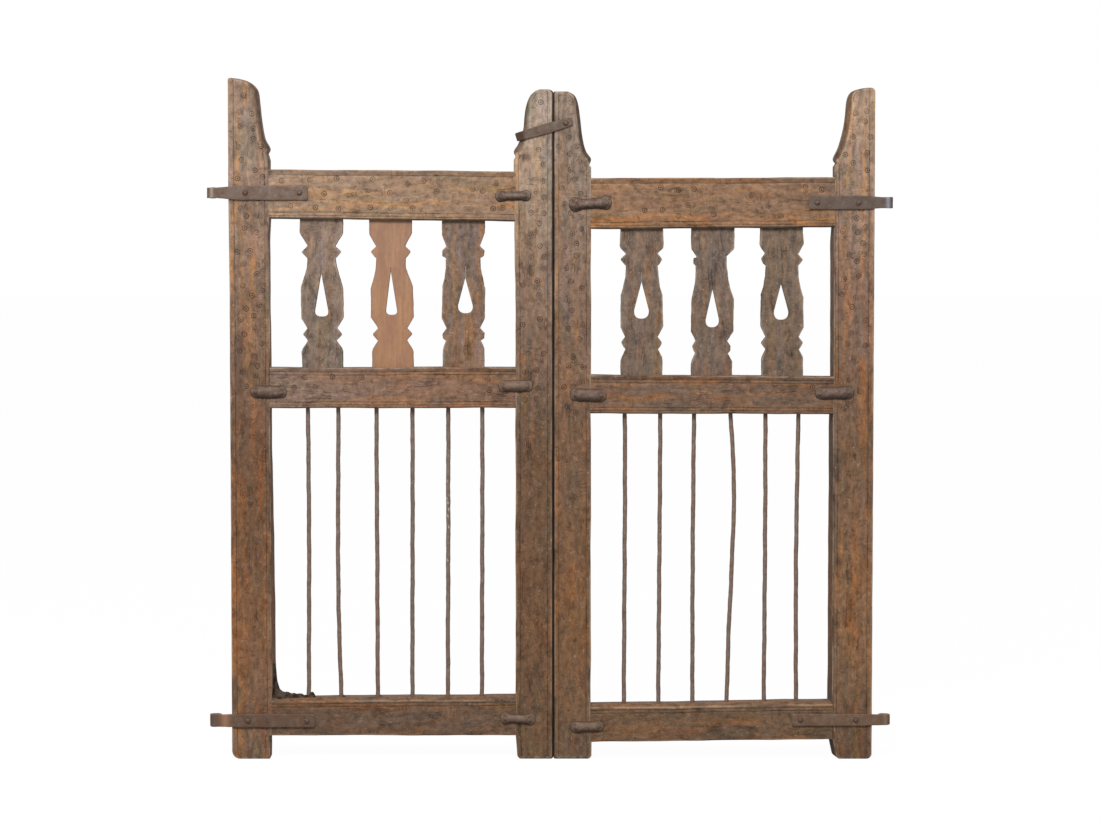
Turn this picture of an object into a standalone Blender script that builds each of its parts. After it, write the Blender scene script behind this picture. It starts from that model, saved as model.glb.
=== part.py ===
"""A pair of old wooden gate leaves with forged iron straps, joint cleats, bars and a latch bar.

Units are metres. +Z is up, +X is the viewer's right and the front of the gate faces -Y.
The origin lies on the ground, below the middle of the closed gate.
Each leaf is a tenoned frame: three flat splats stand in its upper panel, six iron bars in its lower one.
"""
from math import acos, asin, cos, pi, radians, sin, tan

import bmesh
import bpy
from mathutils import Matrix, Vector

MM = 0.001

# Clearances
SEAT_GAP = 0.3 * MM             # between faces that rest on each other
JOINT_GAP = 0.3 * MM            # round a tenon in its mortise, on each side
HOLE_GAP = 0.3 * MM             # round a bar, nail or shank in its hole
PIN_GAP = 0.4 * MM              # round a hinge pin in its eye
LATCH_GAP = 8.6 * MM            # between the latch hook and the horn it closes over
MEETING_GAP = 3.3 * MM          # between the two closed leaves

# Leaf frames
LEFT_LEAF_WIDTH = 595.8 * MM
RIGHT_LEAF_WIDTH = 590.9 * MM
OUTER_STILE_WIDTH = 74.4 * MM
MEETING_STILE_WIDTH = 68.1 * MM
STILE_DEPTH = 45.0 * MM
RAIL_DEPTH = 40.0 * MM          # rails are flush with the stiles in front
TENON_DEPTH = 15.0 * MM
TENON_SETBACK = 15.0 * MM       # from the front face to the tenon
TENON_SHORT = 0.6 * MM          # tenon end below the far edge of its stile
TENON_SHOULDER = 6.0 * MM       # above and below the tenon
EDGE_CHAMFER = 2.0 * MM

# Heights from the ground up
LEFT_FOOT = 44.0 * MM
RIGHT_FOOT = 34.0 * MM
BOTTOM_RAIL_HEIGHT = 66.5 * MM
BAR_PANEL_HEIGHT = 543.0 * MM
LEFT_MIDDLE_RAIL_HEIGHT = 74.0 * MM
RIGHT_MIDDLE_RAIL_HEIGHT = 70.0 * MM
SPLAT_PANEL_HEIGHT = 273.4 * MM
TOP_RAIL_HEIGHT = 90.0 * MM
FOOT_ROUND = 10.0 * MM          # outer stile's outer corner, meeting stile's panel corner
FOOT_CORNER = 4.0 * MM          # the other corner of each foot

# Horns: the shaped stile ends above the top rail
LEFT_OUTER_HORN_HEIGHT = 171.0 * MM
LEFT_MEETING_HORN_HEIGHT = 150.0 * MM
RIGHT_MEETING_HORN_HEIGHT = 160.0 * MM
RIGHT_OUTER_HORN_HEIGHT = 167.0 * MM
LEFT_OUTER_HORN_NARROWING = 20.0 * MM
LEFT_MEETING_HORN_NARROWING = 23.5 * MM
RIGHT_MEETING_HORN_NARROWING = 23.0 * MM
RIGHT_OUTER_HORN_NARROWING = 31.0 * MM
LEFT_OUTER_HEAD_ROUND = (36.0 * MM, 44.0 * MM)      # width and height of the rounded head corner
LEFT_MEETING_HEAD_ROUND = (24.0 * MM, 30.0 * MM)
RIGHT_MEETING_HEAD_ROUND = (19.0 * MM, 27.0 * MM)
RIGHT_OUTER_HEAD_ROUND = (32.0 * MM, 24.0 * MM)
LEFT_MEETING_HEAD_CORNER = 9.0 * MM                 # round of the head's straight-side corner
HEAD_CORNER = 3.0 * MM
BEAD_RISE = 37.0 * MM           # carved bead above the top rail
BEAD_HEIGHT = 8.0 * MM
NOTCH_DEPTH = 4.0 * MM
FLARE_POWER = 2.2
HORN_CHAMFER = 8.0 * MM

# Scratch lines on the front
GROOVE_DEPTH = 1.2 * MM
GROOVE_EDGE = 6.0 * MM          # nearest line to an edge
GROOVE_STEP = 6.0 * MM          # between two lines of a pair
GROOVE_SINGLE = 10.0 * MM       # a single line to its edge

# Splats
SPLAT_PITCH = 130.5 * MM
SPLAT_DEPTH = 18.0 * MM
SPLAT_SETBACK = 10.0 * MM       # from the rail's front face
SPLAT_TENON = 16.0 * MM
SPLAT_TENON_SHOULDER = 8.0 * MM
SPLATS_PER_LEAF = 3
SPLAT_TOP_WIDTH = 79.0 * MM     # at the top rail
SPLAT_BASE_WIDTH = 75.0 * MM    # at the middle rail
SPLAT_BELLY_WIDTH = 78.0 * MM
SPLAT_NECK_WIDTH = 52.0 * MM
SPLAT_BEAD_WIDTH = 70.0 * MM
SPLAT_TOP_BLOCK = 25.0 * MM     # plain block under the top rail
SPLAT_TOP_TAPER = 23.0 * MM     # from the block to the first neck
SPLAT_BEAD_HEIGHT = 23.0 * MM   # from neck to neck, round a pointed bead
SPLAT_SHOULDER = 58.0 * MM      # from the upper bead's lower neck to the belly
SPLAT_BASE_BLOCK = 34.0 * MM    # plain block on the middle rail
SPLAT_BASE_TAPER = 17.0 * MM    # from that block to the lower bead's neck
SPLAT_BELLY_TAPER = 20.0 * MM   # from the lower bead's upper neck to the belly
TEARDROP_WIDTH = 25.0 * MM
TEARDROP_LENGTH = 84.0 * MM
TEARDROP_RISE = 95.0 * MM       # foot of the cut-out above the middle rail

# Iron bars
BAR_DIAMETER = 7.2 * MM
BAR_PITCH = 64.5 * MM
BAR_SOCKET = 22.0 * MM          # depth of a bar's hole in each rail
LEFT_BAR_SHIFTS = (2.0 * MM, -5.0 * MM, 0.5 * MM, 2.5 * MM, 4.0 * MM, 3.0 * MM)
RIGHT_BAR_SHIFTS = (0.0 * MM, 0.0 * MM, -1.5 * MM, 1.5 * MM, 1.0 * MM, -2.0 * MM)
LEFT_BAR_LEANS = (-0.6 * MM, 3.0 * MM, 1.0 * MM, -1.0 * MM, -1.7 * MM, -1.2 * MM)
RIGHT_BAR_LEANS = (-2.0 * MM, -2.0 * MM, -1.5 * MM, -5.0 * MM, -1.0 * MM, -2.0 * MM)
LEFT_BAR_BOWS = (0.0 * MM, -2.5 * MM, 0.5 * MM, 0.5 * MM, 0.0 * MM, 0.5 * MM)
RIGHT_BAR_BOWS = (1.0 * MM, 0.5 * MM, -1.0 * MM, 6.0 * MM, 1.0 * MM, -2.5 * MM)

# Hinges
PIN_DIAMETER = 11.0 * MM
STRAP_THICKNESS = 5.0 * MM
STRAP_WIDTH = 24.6 * MM         # at the nailed end
EYE_WIDTH = 20.6 * MM           # height of the rolled eye
LEFT_EYE_REACH = 30.0 * MM      # from the stile's edge to the hinge axis
RIGHT_EYE_REACH = 23.0 * MM
LEFT_TOP_STRAP_REACH = 71.0 * MM        # past the joint of stile and rail
LEFT_BOTTOM_STRAP_REACH = 80.0 * MM
RIGHT_TOP_STRAP_REACH = 47.0 * MM
RIGHT_BOTTOM_STRAP_REACH = 74.0 * MM
LEFT_TOP_STRAP_RISE = 5.0 * MM          # above the middle of the rail
LEFT_BOTTOM_STRAP_RISE = -5.0 * MM
RIGHT_TOP_STRAP_RISE = 1.0 * MM
RIGHT_BOTTOM_STRAP_RISE = 6.5 * MM
STRAP_NAIL_INSET = 15.0 * MM            # from the strap's square end
STILE_NAIL_INSET = 44.0 * MM            # from the joint of stile and rail

# Nails
NAIL_HEAD_DIAMETER = 12.5 * MM
NAIL_HEAD_HEIGHT = 3.6 * MM
NAIL_SHANK_DIAMETER = 4.4 * MM
NAIL_LENGTH = 38.0 * MM
NAIL_POINT = 8.0 * MM

# Joint cleats
CLEAT_THICKNESS = 3.0 * MM
CLEAT_LOBE_WIDTH = 20.0 * MM
CLEAT_WAIST_WIDTH = 13.0 * MM
CLEAT_RIDGE_HEIGHT = 6.5 * MM
CLEAT_NAIL_HEAD = 9.5 * MM
CLEAT_NAIL_RISE = 2.6 * MM
CLEAT_SHANK_DIAMETER = 3.6 * MM
CLEAT_SHANK_LENGTH = 24.0 * MM
CLEAT_NAIL_INSET = 11.0 * MM            # from the end of a lobe
CLEAT_NAIL_SINK = 0.3 * MM              # nail head below the face of the plate it is forged to
CLEAT_RIDGE_LENGTH = 28.0 * MM
CLEAT_RIDGE_WIDTH = 11.2 * MM
# Each cleat's length, its shift along the rail from the joint, and its rise from the rail's middle
LEFT_TOP_MEETING_CLEAT = (66.0 * MM, -4.0 * MM, -1.0 * MM)
LEFT_MIDDLE_OUTER_CLEAT = (68.0 * MM, -3.0 * MM, -7.0 * MM)
LEFT_MIDDLE_MEETING_CLEAT = (64.0 * MM, 0.0 * MM, 4.0 * MM)
LEFT_BOTTOM_MEETING_CLEAT = (65.0 * MM, 4.0 * MM, -2.0 * MM)
RIGHT_TOP_MEETING_CLEAT = (79.0 * MM, -1.5 * MM, -1.0 * MM)
RIGHT_MIDDLE_MEETING_CLEAT = (68.0 * MM, -5.0 * MM, -1.0 * MM)
RIGHT_MIDDLE_OUTER_CLEAT = (72.0 * MM, 1.5 * MM, 3.0 * MM)
RIGHT_BOTTOM_MEETING_CLEAT = (62.0 * MM, -6.5 * MM, -7.0 * MM)

# Latch bar
LATCH_THICKNESS = 4.2 * MM
LATCH_MIDDLE_WIDTH = 17.0 * MM
LATCH_END_WIDTH = 13.0 * MM
LATCH_TAIL = 13.5 * MM                  # past the nail
LATCH_SLOPE = radians(16.0)
LATCH_BEND = radians(45.0)
LATCH_HOOK_DEPTH = 7.0 * MM
LATCH_NAIL_INSET = 21.0 * MM            # from the right leaf's meeting edge
LATCH_NAIL_RISE = 102.0 * MM            # above the right leaf's top rail

# Roundness of turned, drilled and curved shapes
ROUND_SIDES = 12
EYE_STEPS = 14
FLARE_STEPS = 8
HEAD_STEPS = 6
CORNER_STEPS = 3
OUTLINE_STEPS = 3
TEARDROP_STEPS = 10
DOME_STEPS = 3
HOOK_STEPS = 6
SMOOTH_ANGLE = radians(50.0)
WELD_DISTANCE = 0.01 * MM
MITRE_LIMIT = 0.5               # least share of a corner's square direction when it is drawn in
CUT_PAST = 12.0 * MM            # how far a through cut runs past the wood
LATCH_SEARCH_STEP = 0.25 * MM

# Planes that follow from the sizes above
IRON_PROUD = 2.0 * SEAT_GAP + NAIL_HEAD_HEIGHT + max(STRAP_THICKNESS, LATCH_THICKNESS)
CLEAT_PROUD = SEAT_GAP + max(CLEAT_RIDGE_HEIGHT, CLEAT_THICKNESS + CLEAT_NAIL_RISE)
FRONT_Y = (max(IRON_PROUD, CLEAT_PROUD) - STILE_DEPTH) / 2.0
EYE_BORE_RADIUS = PIN_DIAMETER / 2.0 + PIN_GAP
EYE_RADIUS = EYE_BORE_RADIUS + STRAP_THICKNESS
HINGE_Y = FRONT_Y - SEAT_GAP - STRAP_THICKNESS + EYE_RADIUS
HINGE_SPAN = LEFT_EYE_REACH + LEFT_LEAF_WIDTH + MEETING_GAP + RIGHT_LEAF_WIDTH + RIGHT_EYE_REACH

# Scene set-up
for old_object in list(bpy.data.objects):
    bpy.data.objects.remove(old_object)

PARTS = bpy.data.collections.new("wooden_gate")
CUTTERS = bpy.data.collections.new("wooden_gate_cutters")
bpy.context.scene.collection.children.link(PARTS)
bpy.context.scene.collection.children.link(CUTTERS)


def make_material(name, colour, roughness, metallic):
    """A plain Principled material."""
    material = bpy.data.materials.new(name)
    material.use_nodes = True
    shader = material.node_tree.nodes["Principled BSDF"]
    shader.inputs["Base Color"].default_value = (*colour, 1.0)
    shader.inputs["Roughness"].default_value = roughness
    shader.inputs["Metallic"].default_value = metallic
    return material


OLD_WOOD = make_material("weathered_wood", (0.223, 0.141, 0.091), 0.8, 0.0)
NEW_WOOD = make_material("newer_wood", (0.445, 0.223, 0.127), 0.7, 0.0)
FORGED_IRON = make_material("forged_iron", (0.114, 0.080, 0.065), 0.6, 0.7)
BAR_IRON = make_material("rusted_bar_iron", (0.156, 0.091, 0.071), 0.75, 0.5)


class Leaf:
    """One leaf: its edges along X and the lower and upper level of each rail along Z.

    side is -1 for the left leaf and +1 for the right one, and points to its hinge.
    """

    def __init__(self, name, side, hinge_x, eye_reach, width, foot, middle_rail_height):
        self.name = name
        self.side = side
        self.hinge_x = hinge_x
        self.outer_edge = hinge_x - side * eye_reach
        self.meeting_edge = self.outer_edge - side * width
        self.outer_joint = self.outer_edge - side * OUTER_STILE_WIDTH
        self.meeting_joint = self.meeting_edge + side * MEETING_STILE_WIDTH
        self.panel_middle = (self.outer_joint + self.meeting_joint) / 2.0
        bottom_top = foot + BOTTOM_RAIL_HEIGHT
        middle_low = bottom_top + BAR_PANEL_HEIGHT
        middle_top = middle_low + middle_rail_height
        top_low = middle_top + SPLAT_PANEL_HEIGHT
        self.rails = {
            "bottom": (foot, bottom_top),
            "middle": (middle_low, middle_top),
            "top": (top_low, top_low + TOP_RAIL_HEIGHT),
        }
        self.shoulder = self.rails["top"][1]
        self.pivot = bpy.data.objects.new(name + "_pivot", None)
        self.pivot.location = (hinge_x, HINGE_Y, 0.0)
        PARTS.objects.link(self.pivot)

    def rail_middle(self, rail):
        low, high = self.rails[rail]
        return (low + high) / 2.0


LEFT = Leaf("left", -1, -HINGE_SPAN / 2.0, LEFT_EYE_REACH, LEFT_LEAF_WIDTH, LEFT_FOOT,
            LEFT_MIDDLE_RAIL_HEIGHT)
RIGHT = Leaf("right", 1, HINGE_SPAN / 2.0, RIGHT_EYE_REACH, RIGHT_LEAF_WIDTH, RIGHT_FOOT,
             RIGHT_MIDDLE_RAIL_HEIGHT)
LATCH_NAIL_X = RIGHT.meeting_edge + LATCH_NAIL_INSET
LATCH_NAIL_Z = RIGHT.shoulder + LATCH_NAIL_RISE
bpy.context.view_layer.update()


def add_part(name, mesh, material, leaf=None, place=None):
    """Put a mesh in the parts collection as one named piece, carried by its leaf's pivot."""
    piece = bpy.data.objects.new(name, mesh)
    if not mesh.materials:
        mesh.materials.append(material)
    if place is not None:
        piece.matrix_world = place
    PARTS.objects.link(piece)
    if leaf is not None:
        piece.parent = leaf.pivot
        piece.matrix_parent_inverse = leaf.pivot.matrix_world.inverted()
    return piece


def add_cutter(name, mesh, place):
    """Put a mesh in the cutters collection: it shapes pieces and is no piece itself."""
    cutter = bpy.data.objects.new(name, mesh)
    cutter.matrix_world = place
    cutter.hide_render = True
    cutter.display_type = "WIRE"
    CUTTERS.objects.link(cutter)
    return cutter


def combine(piece, other, operation):
    """Add one exact Boolean modifier to a piece."""
    modifier = piece.modifiers.new(operation.lower(), "BOOLEAN")
    modifier.operation = operation
    modifier.solver = "EXACT"
    modifier.object = other


def baked_mesh(source, name):
    """Turn an object's evaluated shape into one welded mesh, and remove the object."""
    bpy.context.view_layer.update()
    graph = bpy.context.evaluated_depsgraph_get()
    mesh = bpy.data.meshes.new_from_object(source.evaluated_get(graph))
    mesh.name = name
    work = bmesh.new()
    work.from_mesh(mesh)
    bmesh.ops.remove_doubles(work, verts=work.verts, dist=WELD_DISTANCE)
    bmesh.ops.recalc_face_normals(work, faces=work.faces)
    work.to_mesh(mesh)
    work.free()
    bpy.data.objects.remove(source)
    return mesh


def outline_mesh(name, outlines, depth, resolution=OUTLINE_STEPS):
    """Fill flat outlines in XY and thicken them along Z by depth, centred on the plane.

    Each outline is a list of (x, y, kind): kind is VECTOR at a corner and AUTO on a round stretch.
    A second outline inside the first one is a hole.
    """
    curve = bpy.data.curves.new(name, "CURVE")
    curve.dimensions = "2D"
    curve.fill_mode = "BOTH"
    curve.extrude = depth / 2.0
    curve.resolution_u = resolution
    for outline in outlines:
        spline = curve.splines.new("BEZIER")
        spline.use_cyclic_u = True
        spline.bezier_points.add(len(outline) - 1)
        for knot, (x, y, kind) in zip(spline.bezier_points, outline):
            knot.co = (x, y, 0.0)
            knot.handle_left_type = kind
            knot.handle_right_type = kind
    source = bpy.data.objects.new(name, curve)
    PARTS.objects.link(source)
    return baked_mesh(source, name)


def polygon_mesh(name, outlines, depth):
    """Straight-sided outlines in XY, thickened along Z by depth."""
    knots = [[(x, y, "VECTOR") for x, y in points] for points in outlines]
    return outline_mesh(name, knots, depth, resolution=1)


def box_mesh(name, size):
    """A box of the given size, centred on its origin."""
    work = bmesh.new()
    bmesh.ops.create_cube(work, size=1.0, matrix=Matrix.Diagonal((*size, 1.0)))
    mesh = bpy.data.meshes.new(name)
    work.to_mesh(mesh)
    work.free()
    return mesh


def rod_mesh(name, radius, length):
    """A round rod along Z, centred on its origin."""
    work = bmesh.new()
    bmesh.ops.create_cone(work, cap_ends=True, segments=ROUND_SIDES, radius1=radius, radius2=radius,
                          depth=length)
    mesh = bpy.data.meshes.new(name)
    work.to_mesh(mesh)
    work.free()
    return mesh


FACING_FRONT = Matrix.Rotation(pi / 2.0, 4, "X")        # turns +Z to the front, and +Y up


def arc(centre_x, centre_z, radius_x, radius_z, start, end, steps):
    """Points on an elliptical arc, from the start angle to the end angle."""
    points = []
    for step in range(steps + 1):
        angle = start + (end - start) * step / steps
        points.append((centre_x + radius_x * cos(angle), centre_z + radius_z * sin(angle)))
    return points


class Horn:
    """The shaped end of a stile: how high it stands on the top rail and how it narrows."""

    def __init__(self, height, narrowing, head_round, corner):
        self.height = height
        self.narrowing = narrowing
        self.head_round = head_round
        self.corner = corner
        self.head_foot = height - head_round[1]

    def flare(self, rise):
        """How far the shaped edge stands back from the full width, at a height above the rail."""
        share = (rise - BEAD_RISE) / (self.head_foot - BEAD_RISE)
        share = min(max(share, 0.0), 1.0)
        return self.narrowing * (1.0 - (1.0 - share) ** FLARE_POWER)


HORNS = {
    "left_outer": Horn(LEFT_OUTER_HORN_HEIGHT, LEFT_OUTER_HORN_NARROWING,
                       LEFT_OUTER_HEAD_ROUND, HEAD_CORNER),
    "left_meeting": Horn(LEFT_MEETING_HORN_HEIGHT, LEFT_MEETING_HORN_NARROWING,
                         LEFT_MEETING_HEAD_ROUND, LEFT_MEETING_HEAD_CORNER),
    "right_meeting": Horn(RIGHT_MEETING_HORN_HEIGHT, RIGHT_MEETING_HORN_NARROWING,
                          RIGHT_MEETING_HEAD_ROUND, HEAD_CORNER),
    "right_outer": Horn(RIGHT_OUTER_HORN_HEIGHT, RIGHT_OUTER_HORN_NARROWING,
                        RIGHT_OUTER_HEAD_ROUND, HEAD_CORNER),
}


def stile_points(width, shoulder, horn, foot_rounds):
    """Outline of a stile, anticlockwise, with the width of the front chamfer at each point.

    x runs from the stile's straight edge at 0 to its shaped edge, z from the ground. The wide chamfer
    starts at the bead, follows the flare and fades out over the rounded head. foot_rounds are the radii of the foot's
    two corners, at the straight edge and at the shaped edge.
    """
    straight_foot, shaped_foot = foot_rounds
    top = shoulder + horn.height
    bead = shoulder + BEAD_RISE
    lower = arc(straight_foot, straight_foot, straight_foot, straight_foot, pi, 1.5 * pi, CORNER_STEPS)
    lower += arc(width - shaped_foot, shaped_foot, shaped_foot, shaped_foot, 1.5 * pi, 2.0 * pi,
                 CORNER_STEPS)
    lower += [
        (width, bead - BEAD_HEIGHT - NOTCH_DEPTH),
        (width - NOTCH_DEPTH, bead - BEAD_HEIGHT),
        (width - NOTCH_DEPTH / 4.0, bead - BEAD_HEIGHT / 2.0),
        (width, bead),
    ]
    flare = []
    for step in range(1, FLARE_STEPS):
        rise = BEAD_RISE + (horn.head_foot - BEAD_RISE) * step / FLARE_STEPS
        flare.append((width - horn.flare(rise), shoulder + rise))
    head_width, head_height = horn.head_round
    head_x = width - horn.narrowing - head_width
    head = arc(head_x, top - head_height, head_width, head_height, 0.0, pi / 2.0, HEAD_STEPS)
    corner = arc(horn.corner, top - horn.corner, horn.corner, horn.corner, pi / 2.0, pi, CORNER_STEPS)
    cuts = [EDGE_CHAMFER] * (len(lower) - 1) + [HORN_CHAMFER] * (len(flare) + 1)
    for step in range(HEAD_STEPS + 1):
        cuts.append(HORN_CHAMFER + (EDGE_CHAMFER - HORN_CHAMFER) * step / HEAD_STEPS)
    cuts += [EDGE_CHAMFER] * len(corner)
    return lower + flare + head + corner, cuts


def inset_points(points, cuts):
    """Move each point of an anticlockwise outline inwards, so that its edges move in by its cut."""
    moved = []
    count = len(points)
    for index, (point, cut) in enumerate(zip(points, cuts)):
        here = Vector(point)
        before = (here - Vector(points[index - 1])).normalized()
        after = (Vector(points[(index + 1) % count]) - here).normalized()
        inward = Vector((-before.y - after.y, before.x + after.x)).normalized()
        square = Vector((-before.y, before.x))
        moved.append(here + inward * cut / max(inward.dot(square), MITRE_LIMIT))
    return moved


def add_stile(leaf, place):
    """A stile: its outline carried from front to back, drawn in at both faces by its chamfers."""
    outer = place == "outer"
    width = OUTER_STILE_WIDTH if outer else MEETING_STILE_WIDTH
    straight_x = leaf.outer_edge if outer else leaf.meeting_edge
    inward = -leaf.side if outer else leaf.side
    name = leaf.name + "_" + place + "_stile"
    foot_rounds = (FOOT_ROUND, FOOT_CORNER) if outer else (FOOT_CORNER, FOOT_ROUND)
    points, cuts = stile_points(width, leaf.shoulder, HORNS[leaf.name + "_" + place], foot_rounds)
    back_cuts = [EDGE_CHAMFER] * len(points)
    layers = [
        [(p, 0.0) for p in inset_points(points, cuts)],
        [(p, cut) for p, cut in zip(points, cuts)],
        [(p, STILE_DEPTH - cut) for p, cut in zip(points, back_cuts)],
        [(p, STILE_DEPTH) for p in inset_points(points, back_cuts)],
    ]
    work = bmesh.new()
    rings = []
    for layer in layers:
        ring = []
        for (across, height), depth in layer:
            ring.append(work.verts.new((straight_x + inward * across, FRONT_Y + depth, height)))
        rings.append(ring)
    for near, far in zip(rings, rings[1:]):
        for index in range(len(points)):
            work.faces.new((near[index - 1], near[index], far[index], far[index - 1]))
    work.faces.new(rings[0])
    work.faces.new(rings[-1])
    bmesh.ops.recalc_face_normals(work, faces=work.faces)
    mesh = bpy.data.meshes.new(name)
    work.to_mesh(mesh)
    work.free()
    return add_part(name, mesh, OLD_WOOD, leaf)


def rail_profile(height, upper, lower):
    """Section of a rail: x runs from the front to the back, y from the underside to the top.

    The four long edges are chamfered, and each scratch line is a V in the front; upper and lower
    are the lines' distances from the top and from the underside.
    """
    back = RAIL_DEPTH
    cut = EDGE_CHAMFER
    points = [(cut, 0.0), (back - cut, 0.0), (back, cut), (back, height - cut), (back - cut, height),
              (cut, height), (0.0, height - cut)]
    levels = [height - inset for inset in upper] + [inset for inset in reversed(lower)]
    for level in levels:
        points += [(0.0, level + GROOVE_DEPTH), (GROOVE_DEPTH, level), (0.0, level - GROOVE_DEPTH)]
    return points + [(0.0, cut)]


def add_rail(leaf, rail):
    """A rail: its moulded section along X, joined to a bar that stands out as a tenon at both ends.

    The top rail has one scratch line above and a pair below, the middle rail two pairs, the bottom one.
    """
    low, high = leaf.rails[rail]
    pair = (GROOVE_EDGE, GROOVE_EDGE + GROOVE_STEP)
    upper = (GROOVE_SINGLE,) if rail == "top" else pair
    lower = () if rail == "bottom" else pair
    name = leaf.name + "_" + rail + "_rail"
    length = abs(leaf.outer_joint - leaf.meeting_joint) - 2.0 * SEAT_GAP
    mesh = polygon_mesh(name, [rail_profile(high - low, upper, lower)], length)
    along_x = Matrix(((0.0, 0.0, 1.0), (1.0, 0.0, 0.0), (0.0, 1.0, 0.0))).to_4x4()
    mesh.transform(Matrix.Translation((leaf.panel_middle, FRONT_Y, low)) @ along_x)
    piece = add_part(name, mesh, OLD_WOOD, leaf)
    tenon_length = abs(leaf.outer_edge - leaf.meeting_edge) - 2.0 * TENON_SHORT
    tenon_middle = ((leaf.outer_edge + leaf.meeting_edge) / 2.0,
                    FRONT_Y + TENON_SETBACK + TENON_DEPTH / 2.0, (low + high) / 2.0)
    tenon = box_mesh("tenon", (tenon_length, TENON_DEPTH, high - low - 2.0 * TENON_SHOULDER))
    combine(piece, add_cutter(name + "_tenon", tenon, Matrix.Translation(tenon_middle)), "UNION")
    return piece


def cut_mortise(stile, leaf, place, rail):
    """Cut the through mortise that a rail's tenon passes."""
    low, high = leaf.rails[rail]
    edge, joint = (leaf.outer_edge, leaf.outer_joint)
    if place == "meeting":
        edge, joint = (leaf.meeting_edge, leaf.meeting_joint)
    tenon_height = high - low - 2.0 * TENON_SHOULDER
    size = (abs(edge - joint) + 2.0 * CUT_PAST, TENON_DEPTH + 2.0 * JOINT_GAP,
            tenon_height + 2.0 * JOINT_GAP)
    middle = ((edge + joint) / 2.0, FRONT_Y + TENON_SETBACK + TENON_DEPTH / 2.0, (low + high) / 2.0)
    mesh = box_mesh("mortise", size)
    cutter = add_cutter(stile.name + "_" + rail + "_mortise", mesh, Matrix.Translation(middle))
    combine(stile, cutter, "DIFFERENCE")


def scratch_line(piece, start, end):
    """Cut one shallow V line into the front face, between two points."""
    run = Vector(end) - Vector(start)
    side = GROOVE_DEPTH * 2.0 ** 0.5
    mesh = box_mesh("scratch_line", (side, side, run.length))
    turn = run.to_track_quat("Z", "Y").to_matrix().to_4x4() @ Matrix.Rotation(pi / 4.0, 4, "Z")
    middle = (Vector(start) + Vector(end)) / 2.0
    cutter = add_cutter(piece.name + "_scratch_line", mesh, Matrix.Translation(middle) @ turn)
    combine(piece, cutter, "DIFFERENCE")


def scratch_stile(piece, leaf, place):
    """Each stile has a line near both edges, from below its foot to the carved bead."""
    edge, joint = leaf.outer_edge, leaf.outer_joint
    if place == "meeting":
        edge, joint = leaf.meeting_edge, leaf.meeting_joint
    towards = 1.0 if joint > edge else -1.0
    top = leaf.shoulder + BEAD_RISE - BEAD_HEIGHT - NOTCH_DEPTH
    for x in (edge + towards * GROOVE_SINGLE, joint - towards * GROOVE_SINGLE):
        scratch_line(piece, (x, FRONT_Y, -FOOT_ROUND), (x, FRONT_Y, top))


def drill(hosts, name, point, diameter, depth):
    """Drill one hole from the front, straight back, into every host."""
    mesh = rod_mesh("drill", diameter / 2.0 + HOLE_GAP, 2.0 * (depth + HOLE_GAP))
    cutter = add_cutter(name, mesh, Matrix.Translation(point) @ FACING_FRONT)
    for host in hosts:
        combine(host, cutter, "DIFFERENCE")


def splat_points(height):
    """Outline of a sawn splat between its rails, its tenons included; y is 0 at the middle rail.

    The upper stations are sizes down from the top rail, the lower ones up from the middle rail,
    and the belly takes up the rest of the panel.
    """
    neck = SPLAT_NECK_WIDTH / 2.0
    bead = SPLAT_BEAD_WIDTH / 2.0
    belly = SPLAT_BELLY_WIDTH / 2.0
    top = SPLAT_TOP_WIDTH / 2.0
    base = SPLAT_BASE_WIDTH / 2.0
    top_neck = SPLAT_TOP_BLOCK + SPLAT_TOP_TAPER
    base_neck = SPLAT_BASE_BLOCK + SPLAT_BASE_TAPER
    down = [
        (-SPLAT_TENON, top - SPLAT_TENON_SHOULDER), (0.0, top - SPLAT_TENON_SHOULDER), (SEAT_GAP, top),
        (SPLAT_TOP_BLOCK, top), (top_neck, neck), (top_neck + SPLAT_BEAD_HEIGHT / 2.0, bead),
        (top_neck + SPLAT_BEAD_HEIGHT, neck), (top_neck + SPLAT_BEAD_HEIGHT + SPLAT_SHOULDER, belly),
    ]
    up = [
        (base_neck + SPLAT_BEAD_HEIGHT + SPLAT_BELLY_TAPER, belly), (base_neck + SPLAT_BEAD_HEIGHT, neck),
        (base_neck + SPLAT_BEAD_HEIGHT / 2.0, bead), (base_neck, neck), (SPLAT_BASE_BLOCK, base),
        (SEAT_GAP, base), (0.0, base - SPLAT_TENON_SHOULDER), (-SPLAT_TENON, base - SPLAT_TENON_SHOULDER),
    ]
    right_side = [(half, height - drop) for drop, half in down] + [(half, rise) for rise, half in up]
    return right_side + [(-x, y) for x, y in reversed(right_side)]


def teardrop_points():
    """The cut-out: two straight sides from a pointed top, tangent to a round foot."""
    radius = TEARDROP_WIDTH / 2.0
    centre = TEARDROP_RISE + radius
    tilt = asin(radius / (TEARDROP_LENGTH - radius))
    foot = arc(0.0, centre, radius, radius, pi - tilt, 2.0 * pi + tilt, TEARDROP_STEPS)
    return [(0.0, TEARDROP_RISE + TEARDROP_LENGTH)] + foot


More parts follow.
